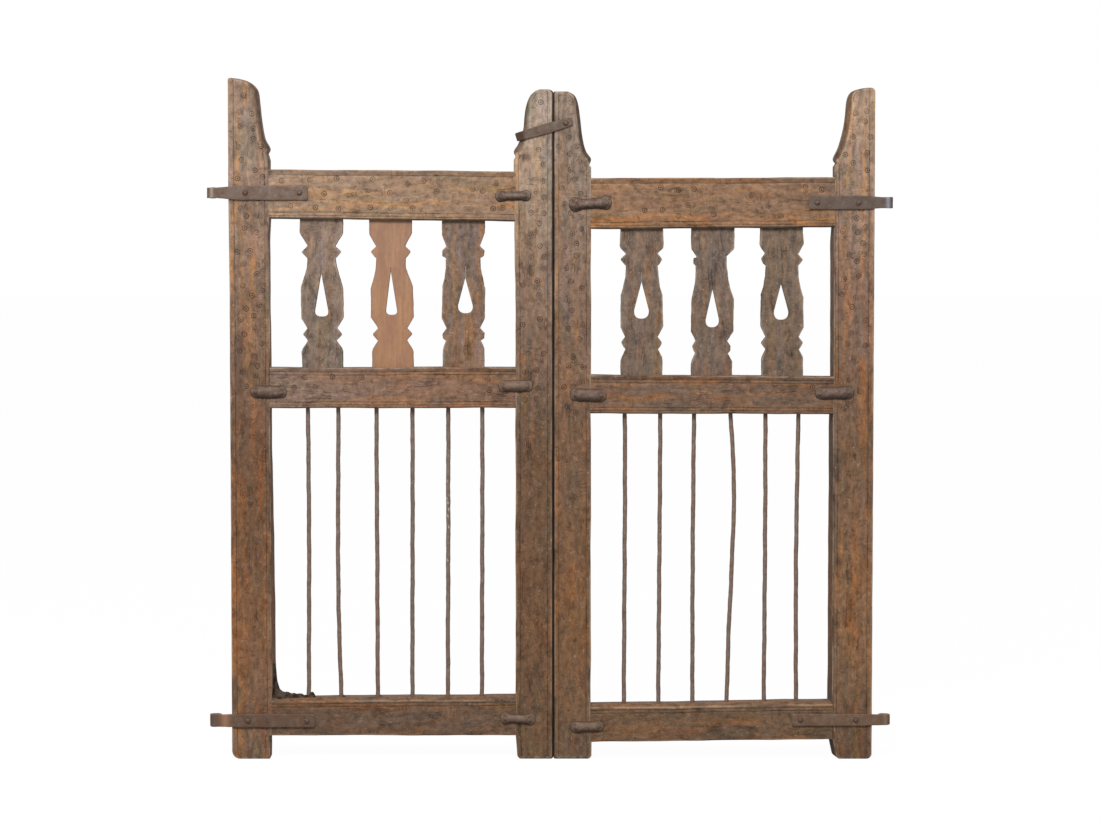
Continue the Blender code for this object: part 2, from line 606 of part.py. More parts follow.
def add_splats(leaf, upper_rail, lower_rail):
    """The splats, each seated by its tenons in pockets of the rails above and below it."""
    low = leaf.rails["middle"][1]
    high = leaf.rails["top"][0]
    middle_y = FRONT_Y + SPLAT_SETBACK + SPLAT_DEPTH / 2.0
    pocket_depth = SPLAT_DEPTH + 2.0 * JOINT_GAP
    pocket_height = 2.0 * (SPLAT_TENON + JOINT_GAP)
    sockets = ((upper_rail, high, SPLAT_TOP_WIDTH), (lower_rail, low, SPLAT_BASE_WIDTH))
    for index in range(SPLATS_PER_LEAF):
        name = "%s_splat_%d" % (leaf.name, index + 1)
        x = leaf.panel_middle + (index - (SPLATS_PER_LEAF - 1) / 2.0) * SPLAT_PITCH
        mesh = polygon_mesh(name, [splat_points(high - low), teardrop_points()], SPLAT_DEPTH)
        mesh.transform(Matrix.Translation((x, middle_y, low)) @ FACING_FRONT)
        newer = name == "left_splat_2"
        add_part(name, mesh, NEW_WOOD if newer else OLD_WOOD, leaf)
        for rail, level, width in sockets:
            pocket_width = width - 2.0 * SPLAT_TENON_SHOULDER + 2.0 * JOINT_GAP
            pocket = box_mesh("pocket", (pocket_width, pocket_depth, pocket_height))
            cutter = add_cutter(name + "_pocket", pocket, Matrix.Translation((x, middle_y, level)))
            combine(rail, cutter, "DIFFERENCE")


def add_bars(leaf, upper_rail, lower_rail, shifts, leans, bows):
    """The round bars, each let into a drilled hole in the rail above and the rail below.

    shifts: how far each top is from even spacing; leans: bottom against top; bows: middle sideways.
    """
    high = leaf.rails["middle"][0]
    low = leaf.rails["bottom"][1]
    middle_y = FRONT_Y + RAIL_DEPTH / 2.0
    straight = 2.0 * BAR_DIAMETER
    for index, (shift, lean, bow) in enumerate(zip(shifts, leans, bows)):
        name = "%s_bar_%d" % (leaf.name, index + 1)
        top_x = leaf.panel_middle + (index - (len(shifts) - 1) / 2.0) * BAR_PITCH + shift
        low_x = top_x + lean
        middle_x = (top_x + low_x) / 2.0 + bow
        curve = bpy.data.curves.new(name, "CURVE")
        curve.dimensions = "3D"
        curve.bevel_depth = BAR_DIAMETER / 2.0
        curve.bevel_resolution = 2
        curve.use_fill_caps = True
        route = [
            (top_x, high + BAR_SOCKET), (top_x, high - straight), (middle_x, (high + low) / 2.0),
            (low_x, low + straight), (low_x, low - BAR_SOCKET),
        ]
        spline = curve.splines.new("POLY")
        spline.points.add(len(route) - 1)
        for knot, (x, z) in zip(spline.points, route):
            knot.co = (x, middle_y, z, 1.0)
        source = bpy.data.objects.new(name, curve)
        PARTS.objects.link(source)
        piece = add_part(name, baked_mesh(source, name), BAR_IRON, leaf)
        piece.data.shade_smooth()
        piece.data.set_sharp_from_angle(angle=SMOOTH_ANGLE)
        for rail, x, level in ((upper_rail, top_x, high), (lower_rail, low_x, low)):
            hole = rod_mesh("socket", BAR_DIAMETER / 2.0 + HOLE_GAP, 2.0 * (BAR_SOCKET + HOLE_GAP))
            cutter = add_cutter(name + "_socket", hole, Matrix.Translation((x, middle_y, level)))
            combine(rail, cutter, "DIFFERENCE")


def nail_mesh(name, head_diameter, head_height, shank_diameter, length):
    """A hand-made nail along Z: domed head above 0, shank and point below, turned from a profile."""
    shank = shank_diameter / 2.0
    profile = arc(0.0, 0.0, head_diameter / 2.0, head_height, pi / 2.0, 0.0, DOME_STEPS)
    profile += [(shank, 0.0), (shank, NAIL_POINT - length), (0.0, -length)]
    mesh = bpy.data.meshes.new(name)
    edges = [(index, index + 1) for index in range(len(profile) - 1)]
    mesh.from_pydata([(x, 0.0, z) for x, z in profile], edges, [])
    source = bpy.data.objects.new(name, mesh)
    PARTS.objects.link(source)
    screw = source.modifiers.new("turn", "SCREW")
    screw.steps = ROUND_SIDES
    screw.render_steps = ROUND_SIDES
    screw.use_merge_vertices = True
    screw.merge_threshold = WELD_DISTANCE
    turned = baked_mesh(source, name)
    turned.shade_smooth()
    turned.set_sharp_from_angle(angle=SMOOTH_ANGLE)
    return turned


def strap_points(leaf, reach):
    """Plan of a strap: a flat bar on the frame whose end is rolled back round the hinge axis.

    The roll ends where its corner comes within the pin's clearance of the bar's back.
    """
    front = HINGE_Y - EYE_RADIUS
    back = front + STRAP_THICKNESS
    end_x = leaf.outer_joint - leaf.side * reach
    roll = 2.0 * pi - acos((EYE_BORE_RADIUS - 2.0 * PIN_GAP) / EYE_RADIUS)
    outside = []
    inside = []
    for step in range(EYE_STEPS + 1):
        angle = roll * step / EYE_STEPS
        across = leaf.side * sin(angle)
        along = -cos(angle)
        outside.append((leaf.hinge_x + EYE_RADIUS * across, HINGE_Y + EYE_RADIUS * along))
        inside.append((leaf.hinge_x + EYE_BORE_RADIUS * across, HINGE_Y + EYE_BORE_RADIUS * along))
    return [(end_x, back), (end_x, front)] + outside + inside[::-1]


def add_strap(leaf, rail, reach, rise, hosts):
    """A strap hinge with its two nails and its pin."""
    name = leaf.name + "_" + rail
    level = leaf.rail_middle(rail) + rise
    end_x = leaf.outer_joint - leaf.side * reach
    mesh = polygon_mesh(name + "_strap", [strap_points(leaf, reach)], 1.0)
    for vertex in mesh.vertices:
        share = (vertex.co.x - end_x) / (leaf.hinge_x - end_x)
        width = STRAP_WIDTH + share * (EYE_WIDTH - STRAP_WIDTH)
        vertex.co.z = level + vertex.co.z * width
    strap = add_part(name + "_strap", mesh, FORGED_IRON, leaf)
    seat_y = FRONT_Y - STRAP_THICKNESS - 2.0 * SEAT_GAP
    stile, rail_piece = hosts
    nail_places = {
        "stile_nail": (leaf.outer_joint + leaf.side * STILE_NAIL_INSET, (strap, stile, rail_piece)),
        "rail_nail": (end_x + leaf.side * STRAP_NAIL_INSET, (strap, rail_piece)),
    }
    for nail_name, (x, nailed) in nail_places.items():
        point = Matrix.Translation((x, seat_y, level)) @ FACING_FRONT
        add_part(name + "_" + nail_name, STRAP_NAIL, FORGED_IRON, leaf, point)
        drill(nailed, name + "_" + nail_name + "_hole", (x, seat_y, level), NAIL_SHANK_DIAMETER, NAIL_LENGTH)
    pin = add_part(name + "_hinge_pin", rod_mesh(name + "_hinge_pin", PIN_DIAMETER / 2.0, EYE_WIDTH),
                   FORGED_IRON)
    pin.matrix_world = Matrix.Translation((leaf.hinge_x, HINGE_Y, level))


def cleat_mesh(name, length):
    """A joint cleat along X, its back on y = 0: a lobed plate, a ridge over the joint and two nails."""
    half = length / 2.0
    lobe = CLEAT_LOBE_WIDTH / 2.0
    waist = CLEAT_WAIST_WIDTH / 2.0
    outline = [
        (half, 0.0, "AUTO"), (half - lobe, lobe, "AUTO"), (0.0, waist, "AUTO"),
        (lobe - half, lobe, "AUTO"), (-half, 0.0, "AUTO"), (lobe - half, -lobe, "AUTO"),
        (0.0, -waist, "AUTO"), (half - lobe, -lobe, "AUTO"),
    ]
    plate_mesh = outline_mesh(name, [outline], CLEAT_THICKNESS)
    plate_mesh.transform(Matrix.Translation((0.0, -CLEAT_THICKNESS / 2.0, 0.0)) @ FACING_FRONT)
    plate = bpy.data.objects.new(name, plate_mesh)
    PARTS.objects.link(plate)
    work = bmesh.new()
    ridge_depth = 2.0 * (CLEAT_RIDGE_HEIGHT - CLEAT_THICKNESS / 2.0)
    ridge_size = (CLEAT_RIDGE_LENGTH, ridge_depth, CLEAT_RIDGE_WIDTH)
    bmesh.ops.create_uvsphere(work, u_segments=ROUND_SIDES, v_segments=ROUND_SIDES // 2, radius=0.5,
                              matrix=Matrix.Diagonal((*ridge_size, 1.0)) @ Matrix.Rotation(pi / 2.0, 4, "Y"))
    bmesh.ops.bisect_plane(work, geom=work.verts[:] + work.edges[:] + work.faces[:],
                           plane_co=(0.0, CLEAT_THICKNESS / 4.0, 0.0), plane_no=(0.0, 1.0, 0.0),
                           clear_outer=True)
    bmesh.ops.holes_fill(work, edges=[edge for edge in work.edges if edge.is_boundary])
    ridge_mesh = bpy.data.meshes.new(name + "_ridge")
    work.to_mesh(ridge_mesh)
    work.free()
    ridge = add_cutter(name + "_ridge", ridge_mesh, Matrix.Translation((0.0, -CLEAT_THICKNESS / 2.0, 0.0)))
    combine(plate, ridge, "UNION")
    for sign in (-1.0, 1.0):
        nail_x = sign * (half - CLEAT_NAIL_INSET)
        place = Matrix.Translation((nail_x, CLEAT_NAIL_SINK - CLEAT_THICKNESS, 0.0)) @ FACING_FRONT
        combine(plate, add_cutter(name + "_nail", CLEAT_NAIL, place), "UNION")
    return baked_mesh(plate, name)


def add_cleat(leaf, place, rail, sizes, hosts):
    """A cleat across the joint of a rail with its stile, its shanks driven into both."""
    length, aside, rise = sizes
    name = "%s_%s_%s_cleat" % (leaf.name, rail, place)
    joint = leaf.outer_joint if place == "outer" else leaf.meeting_joint
    x = joint + aside
    level = leaf.rail_middle(rail) + rise
    seat = (x, FRONT_Y - SEAT_GAP, level)
    add_part(name, cleat_mesh(name, length), FORGED_IRON, leaf, Matrix.Translation(seat))
    for sign in (-1.0, 1.0):
        nail_x = x + sign * (length / 2.0 - CLEAT_NAIL_INSET)
        drill(hosts, name + "_hole", (nail_x, seat[1], level), CLEAT_SHANK_DIAMETER, CLEAT_SHANK_LENGTH)


def hook_is_clear(reach):
    """Whether the hook's lower edge, bent at this reach, keeps the latch clearance to the left horn.

    The horn stands back in front by its chamfer, so the edge to clear depends on the depth.
    """
    horn = HORNS["left_meeting"]
    half = LATCH_END_WIDTH / 2.0
    for step in range(HOOK_STEPS + 1):
        depth = LATCH_HOOK_DEPTH * step / HOOK_STEPS
        along = reach + depth / tan(LATCH_BEND)
        x = LATCH_NAIL_X - along * cos(LATCH_SLOPE) + half * sin(LATCH_SLOPE)
        z = LATCH_NAIL_Z - along * sin(LATCH_SLOPE) - half * cos(LATCH_SLOPE)
        edge = LEFT.meeting_joint + horn.flare(z - LEFT.shoulder) + max(HORN_CHAMFER - depth, 0.0)
        if x > edge - LATCH_GAP:
            return False
    return True


def latch_reach():
    """Distance from the latch nail to the bend of its hook: the least one that clears the horn."""
    reach = LATCH_NAIL_INSET + MEETING_GAP
    while not hook_is_clear(reach):
        reach += LATCH_SEARCH_STEP
    return reach


def add_latch(stile):
    """The latch bar, which turns on its nail, and the nail in the right meeting stile."""
    bend_x = -latch_reach()
    back = -SEAT_GAP
    front = back - LATCH_THICKNESS
    hook = LATCH_HOOK_DEPTH / sin(LATCH_BEND)
    inner_tip = Vector((bend_x - hook * cos(LATCH_BEND), back + hook * sin(LATCH_BEND)))
    outer_tip = inner_tip - LATCH_THICKNESS * Vector((sin(LATCH_BEND), cos(LATCH_BEND)))
    outer_bend = Vector((bend_x - LATCH_THICKNESS * tan(LATCH_BEND / 2.0), front))
    middle_x = bend_x / 2.0
    plan = [
        (LATCH_TAIL, back), (LATCH_TAIL, front), (middle_x, front), outer_bend[:], outer_tip[:],
        inner_tip[:], (bend_x, back), (middle_x, back),
    ]
    mesh = polygon_mesh("latch_bar", [plan], 1.0)
    for vertex in mesh.vertices:
        share = min(abs(vertex.co.x - middle_x) / abs(middle_x), 1.0)
        vertex.co.z *= LATCH_MIDDLE_WIDTH + share * (LATCH_END_WIDTH - LATCH_MIDDLE_WIDTH)
    turn = Matrix.Rotation(-LATCH_SLOPE, 4, "Y")
    place = Matrix.Translation((LATCH_NAIL_X, FRONT_Y, LATCH_NAIL_Z)) @ turn
    bar = add_part("latch_bar", mesh, FORGED_IRON, RIGHT, place)
    seat_y = FRONT_Y - LATCH_THICKNESS - 2.0 * SEAT_GAP
    point = (LATCH_NAIL_X, seat_y, LATCH_NAIL_Z)
    add_part("latch_nail", STRAP_NAIL, FORGED_IRON, RIGHT, Matrix.Translation(point) @ FACING_FRONT)
    drill((bar, stile), "latch_nail_hole", point, NAIL_SHANK_DIAMETER, NAIL_LENGTH)


STRAP_NAIL = nail_mesh("strap_nail", NAIL_HEAD_DIAMETER, NAIL_HEAD_HEIGHT, NAIL_SHANK_DIAMETER, NAIL_LENGTH)
CLEAT_NAIL = nail_mesh("cleat_nail", CLEAT_NAIL_HEAD, CLEAT_NAIL_RISE, CLEAT_SHANK_DIAMETER,
                       CLEAT_SHANK_LENGTH)

# Frames, splats and bars
stiles = {}
rails = {}
for leaf in (LEFT, RIGHT):
    for place in ("outer", "meeting"):
        stile = add_stile(leaf, place)
        stiles[leaf.name, place] = stile
        scratch_stile(stile, leaf, place)
        for rail in leaf.rails:
            cut_mortise(stile, leaf, place, rail)
    for rail in leaf.rails:
        rails[leaf.name, rail] = add_rail(leaf, rail)
    add_splats(leaf, rails[leaf.name, "top"], rails[leaf.name, "middle"])

add_bars(LEFT, rails["left", "middle"], rails["left", "bottom"],
         LEFT_BAR_SHIFTS, LEFT_BAR_LEANS, LEFT_BAR_BOWS)
add_bars(RIGHT, rails["right", "middle"], rails["right", "bottom"],
         RIGHT_BAR_SHIFTS, RIGHT_BAR_LEANS, RIGHT_BAR_BOWS)

# Strap hinges: leaf, rail, reach past the joint, rise from the rail's middle
STRAPS = (
    (LEFT, "top", LEFT_TOP_STRAP_REACH, LEFT_TOP_STRAP_RISE),
    (LEFT, "bottom", LEFT_BOTTOM_STRAP_REACH, LEFT_BOTTOM_STRAP_RISE),
    (RIGHT, "top", RIGHT_TOP_STRAP_REACH, RIGHT_TOP_STRAP_RISE),
    (RIGHT, "bottom", RIGHT_BOTTOM_STRAP_REACH, RIGHT_BOTTOM_STRAP_RISE),
)
for leaf, rail, reach, rise in STRAPS:
    add_strap(leaf, rail, reach, rise, (stiles[leaf.name, "outer"], rails[leaf.name, rail]))

# Joint cleats: leaf, stile, rail and the cleat's sizes
CLEATS = (
    (LEFT, "meeting", "top", LEFT_TOP_MEETING_CLEAT),
    (LEFT, "outer", "middle", LEFT_MIDDLE_OUTER_CLEAT),
    (LEFT, "meeting", "middle", LEFT_MIDDLE_MEETING_CLEAT),
    (LEFT, "meeting", "bottom", LEFT_BOTTOM_MEETING_CLEAT),
    (RIGHT, "meeting", "top", RIGHT_TOP_MEETING_CLEAT),
    (RIGHT, "meeting", "middle", RIGHT_MIDDLE_MEETING_CLEAT),
    (RIGHT, "outer", "middle", RIGHT_MIDDLE_OUTER_CLEAT),
    (RIGHT, "meeting", "bottom", RIGHT_BOTTOM_MEETING_CLEAT),
)
for leaf, place, rail, sizes in CLEATS:
    add_cleat(leaf, place, rail, sizes, (stiles[leaf.name, place], rails[leaf.name, rail]))

add_latch(stiles["right", "meeting"])
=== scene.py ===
"""Looks of a pair of old wooden gate leaves with forged iron fittings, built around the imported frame.

Units are metres, +Z is up and the front faces -Y. Every piece lies in the frame's own place.
"""
from math import cos, pi, radians, sin

import bmesh
import bpy
import numpy as np
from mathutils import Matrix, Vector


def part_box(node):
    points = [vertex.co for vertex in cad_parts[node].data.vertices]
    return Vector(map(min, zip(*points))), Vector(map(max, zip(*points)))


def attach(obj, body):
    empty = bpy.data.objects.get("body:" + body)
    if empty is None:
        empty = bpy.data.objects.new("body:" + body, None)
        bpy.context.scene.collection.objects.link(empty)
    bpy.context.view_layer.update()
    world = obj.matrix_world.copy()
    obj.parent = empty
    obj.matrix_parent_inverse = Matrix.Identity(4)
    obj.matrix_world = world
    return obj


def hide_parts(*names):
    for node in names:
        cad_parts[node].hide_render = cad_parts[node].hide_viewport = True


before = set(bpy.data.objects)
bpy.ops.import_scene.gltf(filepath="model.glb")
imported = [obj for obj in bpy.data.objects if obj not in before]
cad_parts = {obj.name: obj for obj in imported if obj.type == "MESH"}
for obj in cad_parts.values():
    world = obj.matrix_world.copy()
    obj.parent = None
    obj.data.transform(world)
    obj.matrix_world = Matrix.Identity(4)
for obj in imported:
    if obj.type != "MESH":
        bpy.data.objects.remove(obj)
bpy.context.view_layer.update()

# Stiles: the four uprights of the two frames, old hardwood planks with a shaped horn above the top rail.
# They were sawn and adzed, a wide chamfer was cut along each flare, two lines were scratched down the
# front and small ring-and-dot marks punched all over it.
MM = 0.001


def through(knots, spacing):
    """A smooth line through knots: between two knots a cubic, with the slope at a knot half the step
    between its neighbours, sampled about every spacing."""
    knots = np.array(knots, float)
    ahead = np.vstack((knots[1:], 2.0 * knots[-1:] - knots[-2:-1]))
    behind = np.vstack((2.0 * knots[:1] - knots[1:2], knots[:-1]))
    slope = (ahead - behind) / 2.0
    runs = []
    for here in range(len(knots) - 1):
        count = max(int(np.linalg.norm(knots[here + 1] - knots[here]) / spacing), 1)
        t = np.linspace(0.0, 1.0, count, endpoint=False)[:, None]
        runs.append((2.0 * t ** 3 - 3.0 * t ** 2 + 1.0) * knots[here]
                    + (t ** 3 - 2.0 * t ** 2 + t) * slope[here]
                    + (3.0 * t ** 2 - 2.0 * t ** 3) * knots[here + 1]
                    + (t ** 3 - t ** 2) * slope[here + 1])
    return np.vstack(runs + [knots[-1:]])


def waver(seed, at, wavelength, size):
    """A hand-cut line's wander: three sines of random phase, each shorter and smaller than the last."""
    rng = np.random.default_rng(seed)
    total = np.zeros_like(at)
    for octave in range(3):
        pitch = 2.0 * pi / wavelength * 2.1 ** octave * rng.uniform(0.8, 1.2)
        total += np.sin(pitch * at + rng.uniform(0.0, 2.0 * pi)) / 1.6 ** octave
    return size * total / 2.0


def dents(seed, u, v, wavelength, size):
    """An uneven worn face: the sum of nine waves of random direction, length and phase."""
    rng = np.random.default_rng(seed)
    total = np.zeros(np.broadcast(u, v).shape)
    for _ in range(9):
        turn, phase = rng.uniform(0.0, 2.0 * pi, 2)
        pitch = 2.0 * pi / (wavelength * rng.uniform(0.6, 1.6))
        total += np.sin(pitch * (u * cos(turn) + v * sin(turn)) + phase)
    return size * total / 3.0


def unit(values):
    """Values kept between 0 and 1."""
    return np.clip(values, 0.0, 1.0)


def edge_distance(points, outline, cuts):
    """Distance of each point to the nearest stretch of a closed outline, and the cut of that stretch."""
    step = np.roll(outline, -1, 0) - outline
    length = np.maximum((step ** 2).sum(1), 1e-12)
    away = points[..., None, :] - outline
    share = unit((away * step).sum(-1) / length)
    gap = np.linalg.norm(away - share[..., None] * step, axis=-1)
    return gap.min(-1), cuts[gap.argmin(-1)]


ARRIS = 1.6 * MM                # worn round of every edge
LINE_DEPTH = 1.0 * MM
LINE_HALF = 1.1 * MM
ARRIS_STEPS = np.array((0.0, 0.35, 0.9, 1.7, 2.7, 3.9, 5.2, 6.6, 8.2, 10.0)) * MM
MIDDLE_COLUMNS = 20             # mesh columns between those at the two edges
FACE_DENTS = (0.05, 0.45 * MM)  # length and depth of the dents in the front, and in the rear
REAR_DENTS = (0.07, 0.4 * MM)
DENT_EDGE = 10.0 * MM           # over which the dents die out towards an edge


def arris_drop(distance, radius):
    """How far a face falls away in a quarter round, at a distance inside its edge."""
    inside = np.clip(radius - distance, 0.0, radius)
    return radius - np.sqrt(np.maximum(radius ** 2 - inside ** 2, 0.0))


def edge_steps(lines):
    """Distances of mesh columns from an edge: close at the arris, and on both flanks of each line."""
    plain = [step for step in ARRIS_STEPS if all(abs(step - line) > 1.5 * LINE_HALF for line in lines)]
    flanks = [line + side * LINE_HALF for line in lines for side in (-1.0, 0.0, 1.0)]
    return np.array(sorted(plain + flanks))


def timber(along, low, high, outline, cuts, worn_cut, depth, low_lines, high_lines, bands, eases, seed):
    """A plank as rings round its length, in (along, across, depth).

    Each ring runs over the front from the low edge to the high one, down the high side, back over the
    rear and up the low side. The front falls away from the outline: in a quarter round of the arris
    radius, or by a 45 degree chamfer as wide as the cut. Scratched lines are V cuts beside the edges.
    Behind the front lip the low side stands back by the first ease; the rear of the high side stands
    back by the second one. Also returns wear (worn edge, dark lines, dark chamfer or band, warm band) and
    how many columns are on the front; the dark lines are the scratched lines, and painted shade where
    bands lay it in the seam and along the lower edges of rails, and some dark bands are painted shade
    along edges beside a panel. worn_cut is how dark a chamfer is, the run over which it darkens and the
    power of its fall, 1 being flat; each band is a side (1 low, -1 high), a width, the part of wear it
    goes to and how much.
    """
    front, rear = depth
    low_steps, high_steps = edge_steps(low_lines), edge_steps(high_lines)
    width = high - low
    fit = np.minimum(1.0, width / (1.15 * (low_steps[-1] + high_steps[-1])))[:, None]
    left = low[:, None] + low_steps * fit
    right = high[:, None] - high_steps[::-1] * fit
    middle = left[:, -1:] + (right[:, :1] - left[:, -1:]) * np.linspace(0.0, 1.0, MIDDLE_COLUMNS)[1:-1]
    across = np.hstack((left, middle, right))
    run = np.broadcast_to(along[:, None], across.shape)
    distance, cut = edge_distance(np.stack((run, across), -1), outline, cuts)
    dark, dark_run, power = worn_cut
    fall = cut * unit(1.0 - distance / np.maximum(cut, 1e-6)) ** power
    drop = np.maximum(arris_drop(distance, ARRIS), fall)
    groove = np.zeros_like(across)
    for edge, sign, lines in ((low, 1.0, low_lines), (high, -1.0, high_lines)):
        for number, line in enumerate(lines):
            worn = 0.75 + waver(seed + 11 * number + int(sign), along, 0.17, 0.3)[:, None]
            off = np.abs(across - (edge + sign * line * fit[:, 0])[:, None])
            groove = np.maximum(groove, worn * unit(1.0 - off / LINE_HALF))
    groove *= distance > np.maximum(ARRIS, cut)
    uneven = dents(seed, run / 3.0, across, *FACE_DENTS) * unit(distance / DENT_EDGE)
    face = front + drop + LINE_DEPTH * groove + uneven
    wear = np.zeros((*across.shape, 4))
    wear[..., 0] = np.exp(-((distance - np.maximum(cut, 0.6 * ARRIS)) / (1.3 * MM)) ** 2)
    wear[..., 1] = 0.75 * groove
    wear[..., 2] = dark * unit((cut - distance) / dark_run)
    for sign, wide, part, share in bands:
        off = across - low[:, None] if sign > 0.0 else high[:, None] - across
        strip = share * unit((wide * fit - off) / (1.0 * MM) + 0.5)
        wear[..., part] = np.maximum(wear[..., part], strip)

    rear_steps = ARRIS_STEPS[[0, 2, 4, 6, 8]]
    rear_across = np.hstack((high[:, None] - rear_steps * fit,
                             (low + high)[:, None] / 2.0 + width[:, None] * np.array((0.15, 0.0, -0.15)),
                             low[:, None] + rear_steps[::-1] * fit))
    rear_run = np.broadcast_to(along[:, None], rear_across.shape)
    distance, _ = edge_distance(np.stack((rear_run, rear_across), -1), outline, cuts)
    uneven = dents(seed + 5, rear_run / 3.0, rear_across, *REAR_DENTS)
    rear_face = rear - arris_drop(distance, ARRIS) + uneven * unit(distance / DENT_EDGE)
    share = np.array((0.3, 0.62, 0.7))
    high_side = face[:, -1:] + (rear_face[:, :1] - face[:, -1:]) * share
    low_side = rear_face[:, -1:] + (face[:, :1] - rear_face[:, -1:]) * share
    low_ease, high_ease = (np.broadcast_to(ease, along.shape)[:, None] for ease in eases)
    rear_across[:, -5:] += low_ease * np.array((0.2, 0.5, 0.8, 1.0, 1.0))
    rear_across[:, :5] -= high_ease * np.array((1.0, 1.0, 0.8, 0.5, 0.2))
    ring_across = np.hstack((across, high[:, None] - high_ease * share, rear_across,
                             low[:, None] + low_ease * np.array((1.0, 1.0, 0.0))))
    ring_depth = np.hstack((face, high_side, rear_face, low_side))
    ring_run = np.broadcast_to(along[:, None], ring_across.shape)
    spare = np.zeros((len(along), ring_across.shape[1] - across.shape[1], 4))
    return np.stack((ring_run, ring_across, ring_depth), -1), np.hstack((wear, spare)), across.shape[1]


MARK_REACH = 8.6 * MM           # a mark's offsets are kept this far from its centre
AWAY = 0.1


def mark_offsets(points, fronts, marks):
    """Each point's offset from its nearest punched mark, as (along, across, away).

    away is 0 near a mark on the front and large elsewhere, so that only faces at a mark draw it.
    """
    offsets = np.full(points.shape, AWAY)
    if len(marks):
        apart = points[:, :fronts, None, :2] - marks
        gap = np.linalg.norm(apart, axis=-1)
        nearest = gap.argmin(-1)
        offsets[:, :fronts, :2] = np.take_along_axis(apart, nearest[..., None, None], 2)[:, :, 0]
        offsets[:, :fronts, 2] = np.where(gap.min(-1) < MARK_REACH, 0.0, AWAY)
    return offsets


MARK_GAP = 17.6 * MM


def scatter(seed, low, high, count, kept=np.empty((0, 2))):
    """Marks strewn by hand: random places in a rectangle beside the kept ones, none nearer than the gap."""
    rng = np.random.default_rng(seed)
    full = len(kept) + count
    for place in rng.uniform(low, high, (count * 12, 2)):
        if len(kept) < full and (np.linalg.norm(kept - place, axis=1) > MARK_GAP).all():
            kept = np.vstack((kept, place))
    return kept


def ring_quads(rows, columns):
    """Quads between rings closed on themselves, as (row, column, corner)."""
    row, column = np.meshgrid(np.arange(rows - 1), np.arange(columns), indexing="ij")
    after = (column + 1) % columns
    return np.stack((row * columns + column, row * columns + after, (row + 1) * columns + after,
                     (row + 1) * columns + column), -1)


def ring_faces(rings):
    """Quads of closed rings, row after row, and fans from the two poles that follow the last row."""
    rows, columns = rings.shape[:2]
    here = np.arange(columns)
    there = (here + 1) % columns
    first = np.stack((np.full(columns, rows * columns), there, here), -1)
    end = (rows - 1) * columns
    last = np.stack((np.full(columns, rows * columns + 1), end + here, end + there), -1)
    return ring_quads(rows, columns).reshape(-1, 4).tolist() + first.tolist() + last.tolist()


def with_poles(rings):
    """Rings as one list of points, with the middle of the first and of the last ring added at its end."""
    return np.vstack((rings.reshape(-1, rings.shape[-1]), rings[:1].mean(1), rings[-1:].mean(1)))


def placed(name, data):
    """A new object in the scene."""
    made = bpy.data.objects.new(name, data)
    bpy.context.scene.collection.objects.link(made)
    return made


def mend(mesh, weld=0.0):
    """Join points nearer than weld, if it is given, and turn all faces outward."""
    work = bmesh.new()
    work.from_mesh(mesh)
    if weld:
        bmesh.ops.remove_doubles(work, verts=work.verts, dist=weld)
    bmesh.ops.recalc_face_normals(work, faces=work.faces)
    work.to_mesh(mesh)
    work.free()


SHARP_ANGLE = radians(38.0)
# What a mesh may carry at its points, each with its kind and field
ATTRIBUTES = {"wear": ("FLOAT_COLOR", "color"), "mark": ("FLOAT_VECTOR", "vector"),
              "rubbed": ("FLOAT", "value")}


def add_piece(name, points, faces, body, slot, material, nodes, **attributes):
    """One finished piece: mesh, smooth shading with sharp corners, material and its place in the frame."""
    mesh = bpy.data.meshes.new(name)
    mesh.from_pydata(points.tolist(), [], faces)
    for label, values in attributes.items():
        kind, field = ATTRIBUTES[label]
        layer = mesh.attributes.new(label, kind, "POINT")
        layer.data.foreach_set(field, np.ascontiguousarray(values, np.float32).ravel())
    mend(mesh)
    mesh.shade_smooth()
    mesh.set_sharp_from_angle(angle=SHARP_ANGLE)
    mesh.materials.append(material)
    piece = placed(name, mesh)
    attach(piece, body)
    if nodes:
        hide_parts(*nodes)
    return piece


def add_rings(name, rings, *place, **attributes):
    """A piece that is rings alone, closed at both ends."""
    return add_piece(name, with_poles(rings), ring_faces(rings), *place, **attributes)


class Value:
    """An output of a shader node; arithmetic on it adds Math nodes."""

    def __init__(self, nodes, socket):
        self.nodes = nodes
        self.socket = socket

    def math(self, operation, first, second):
        return self.nodes.node("ShaderNodeMath", {"operation": operation}, {0: first, 1: second})

    def __add__(self, other):
        return self.math("ADD", self, other)

    __radd__ = __add__

    def __sub__(self, other):
        return self.math("SUBTRACT", self, other)

    def __rsub__(self, other):
        return self.math("SUBTRACT", other, self)

    def __mul__(self, other):
        return self.math("MULTIPLY", self, other)

    __rmul__ = __mul__

    def __abs__(self):
        return self.math("ABSOLUTE", self, 0.0)


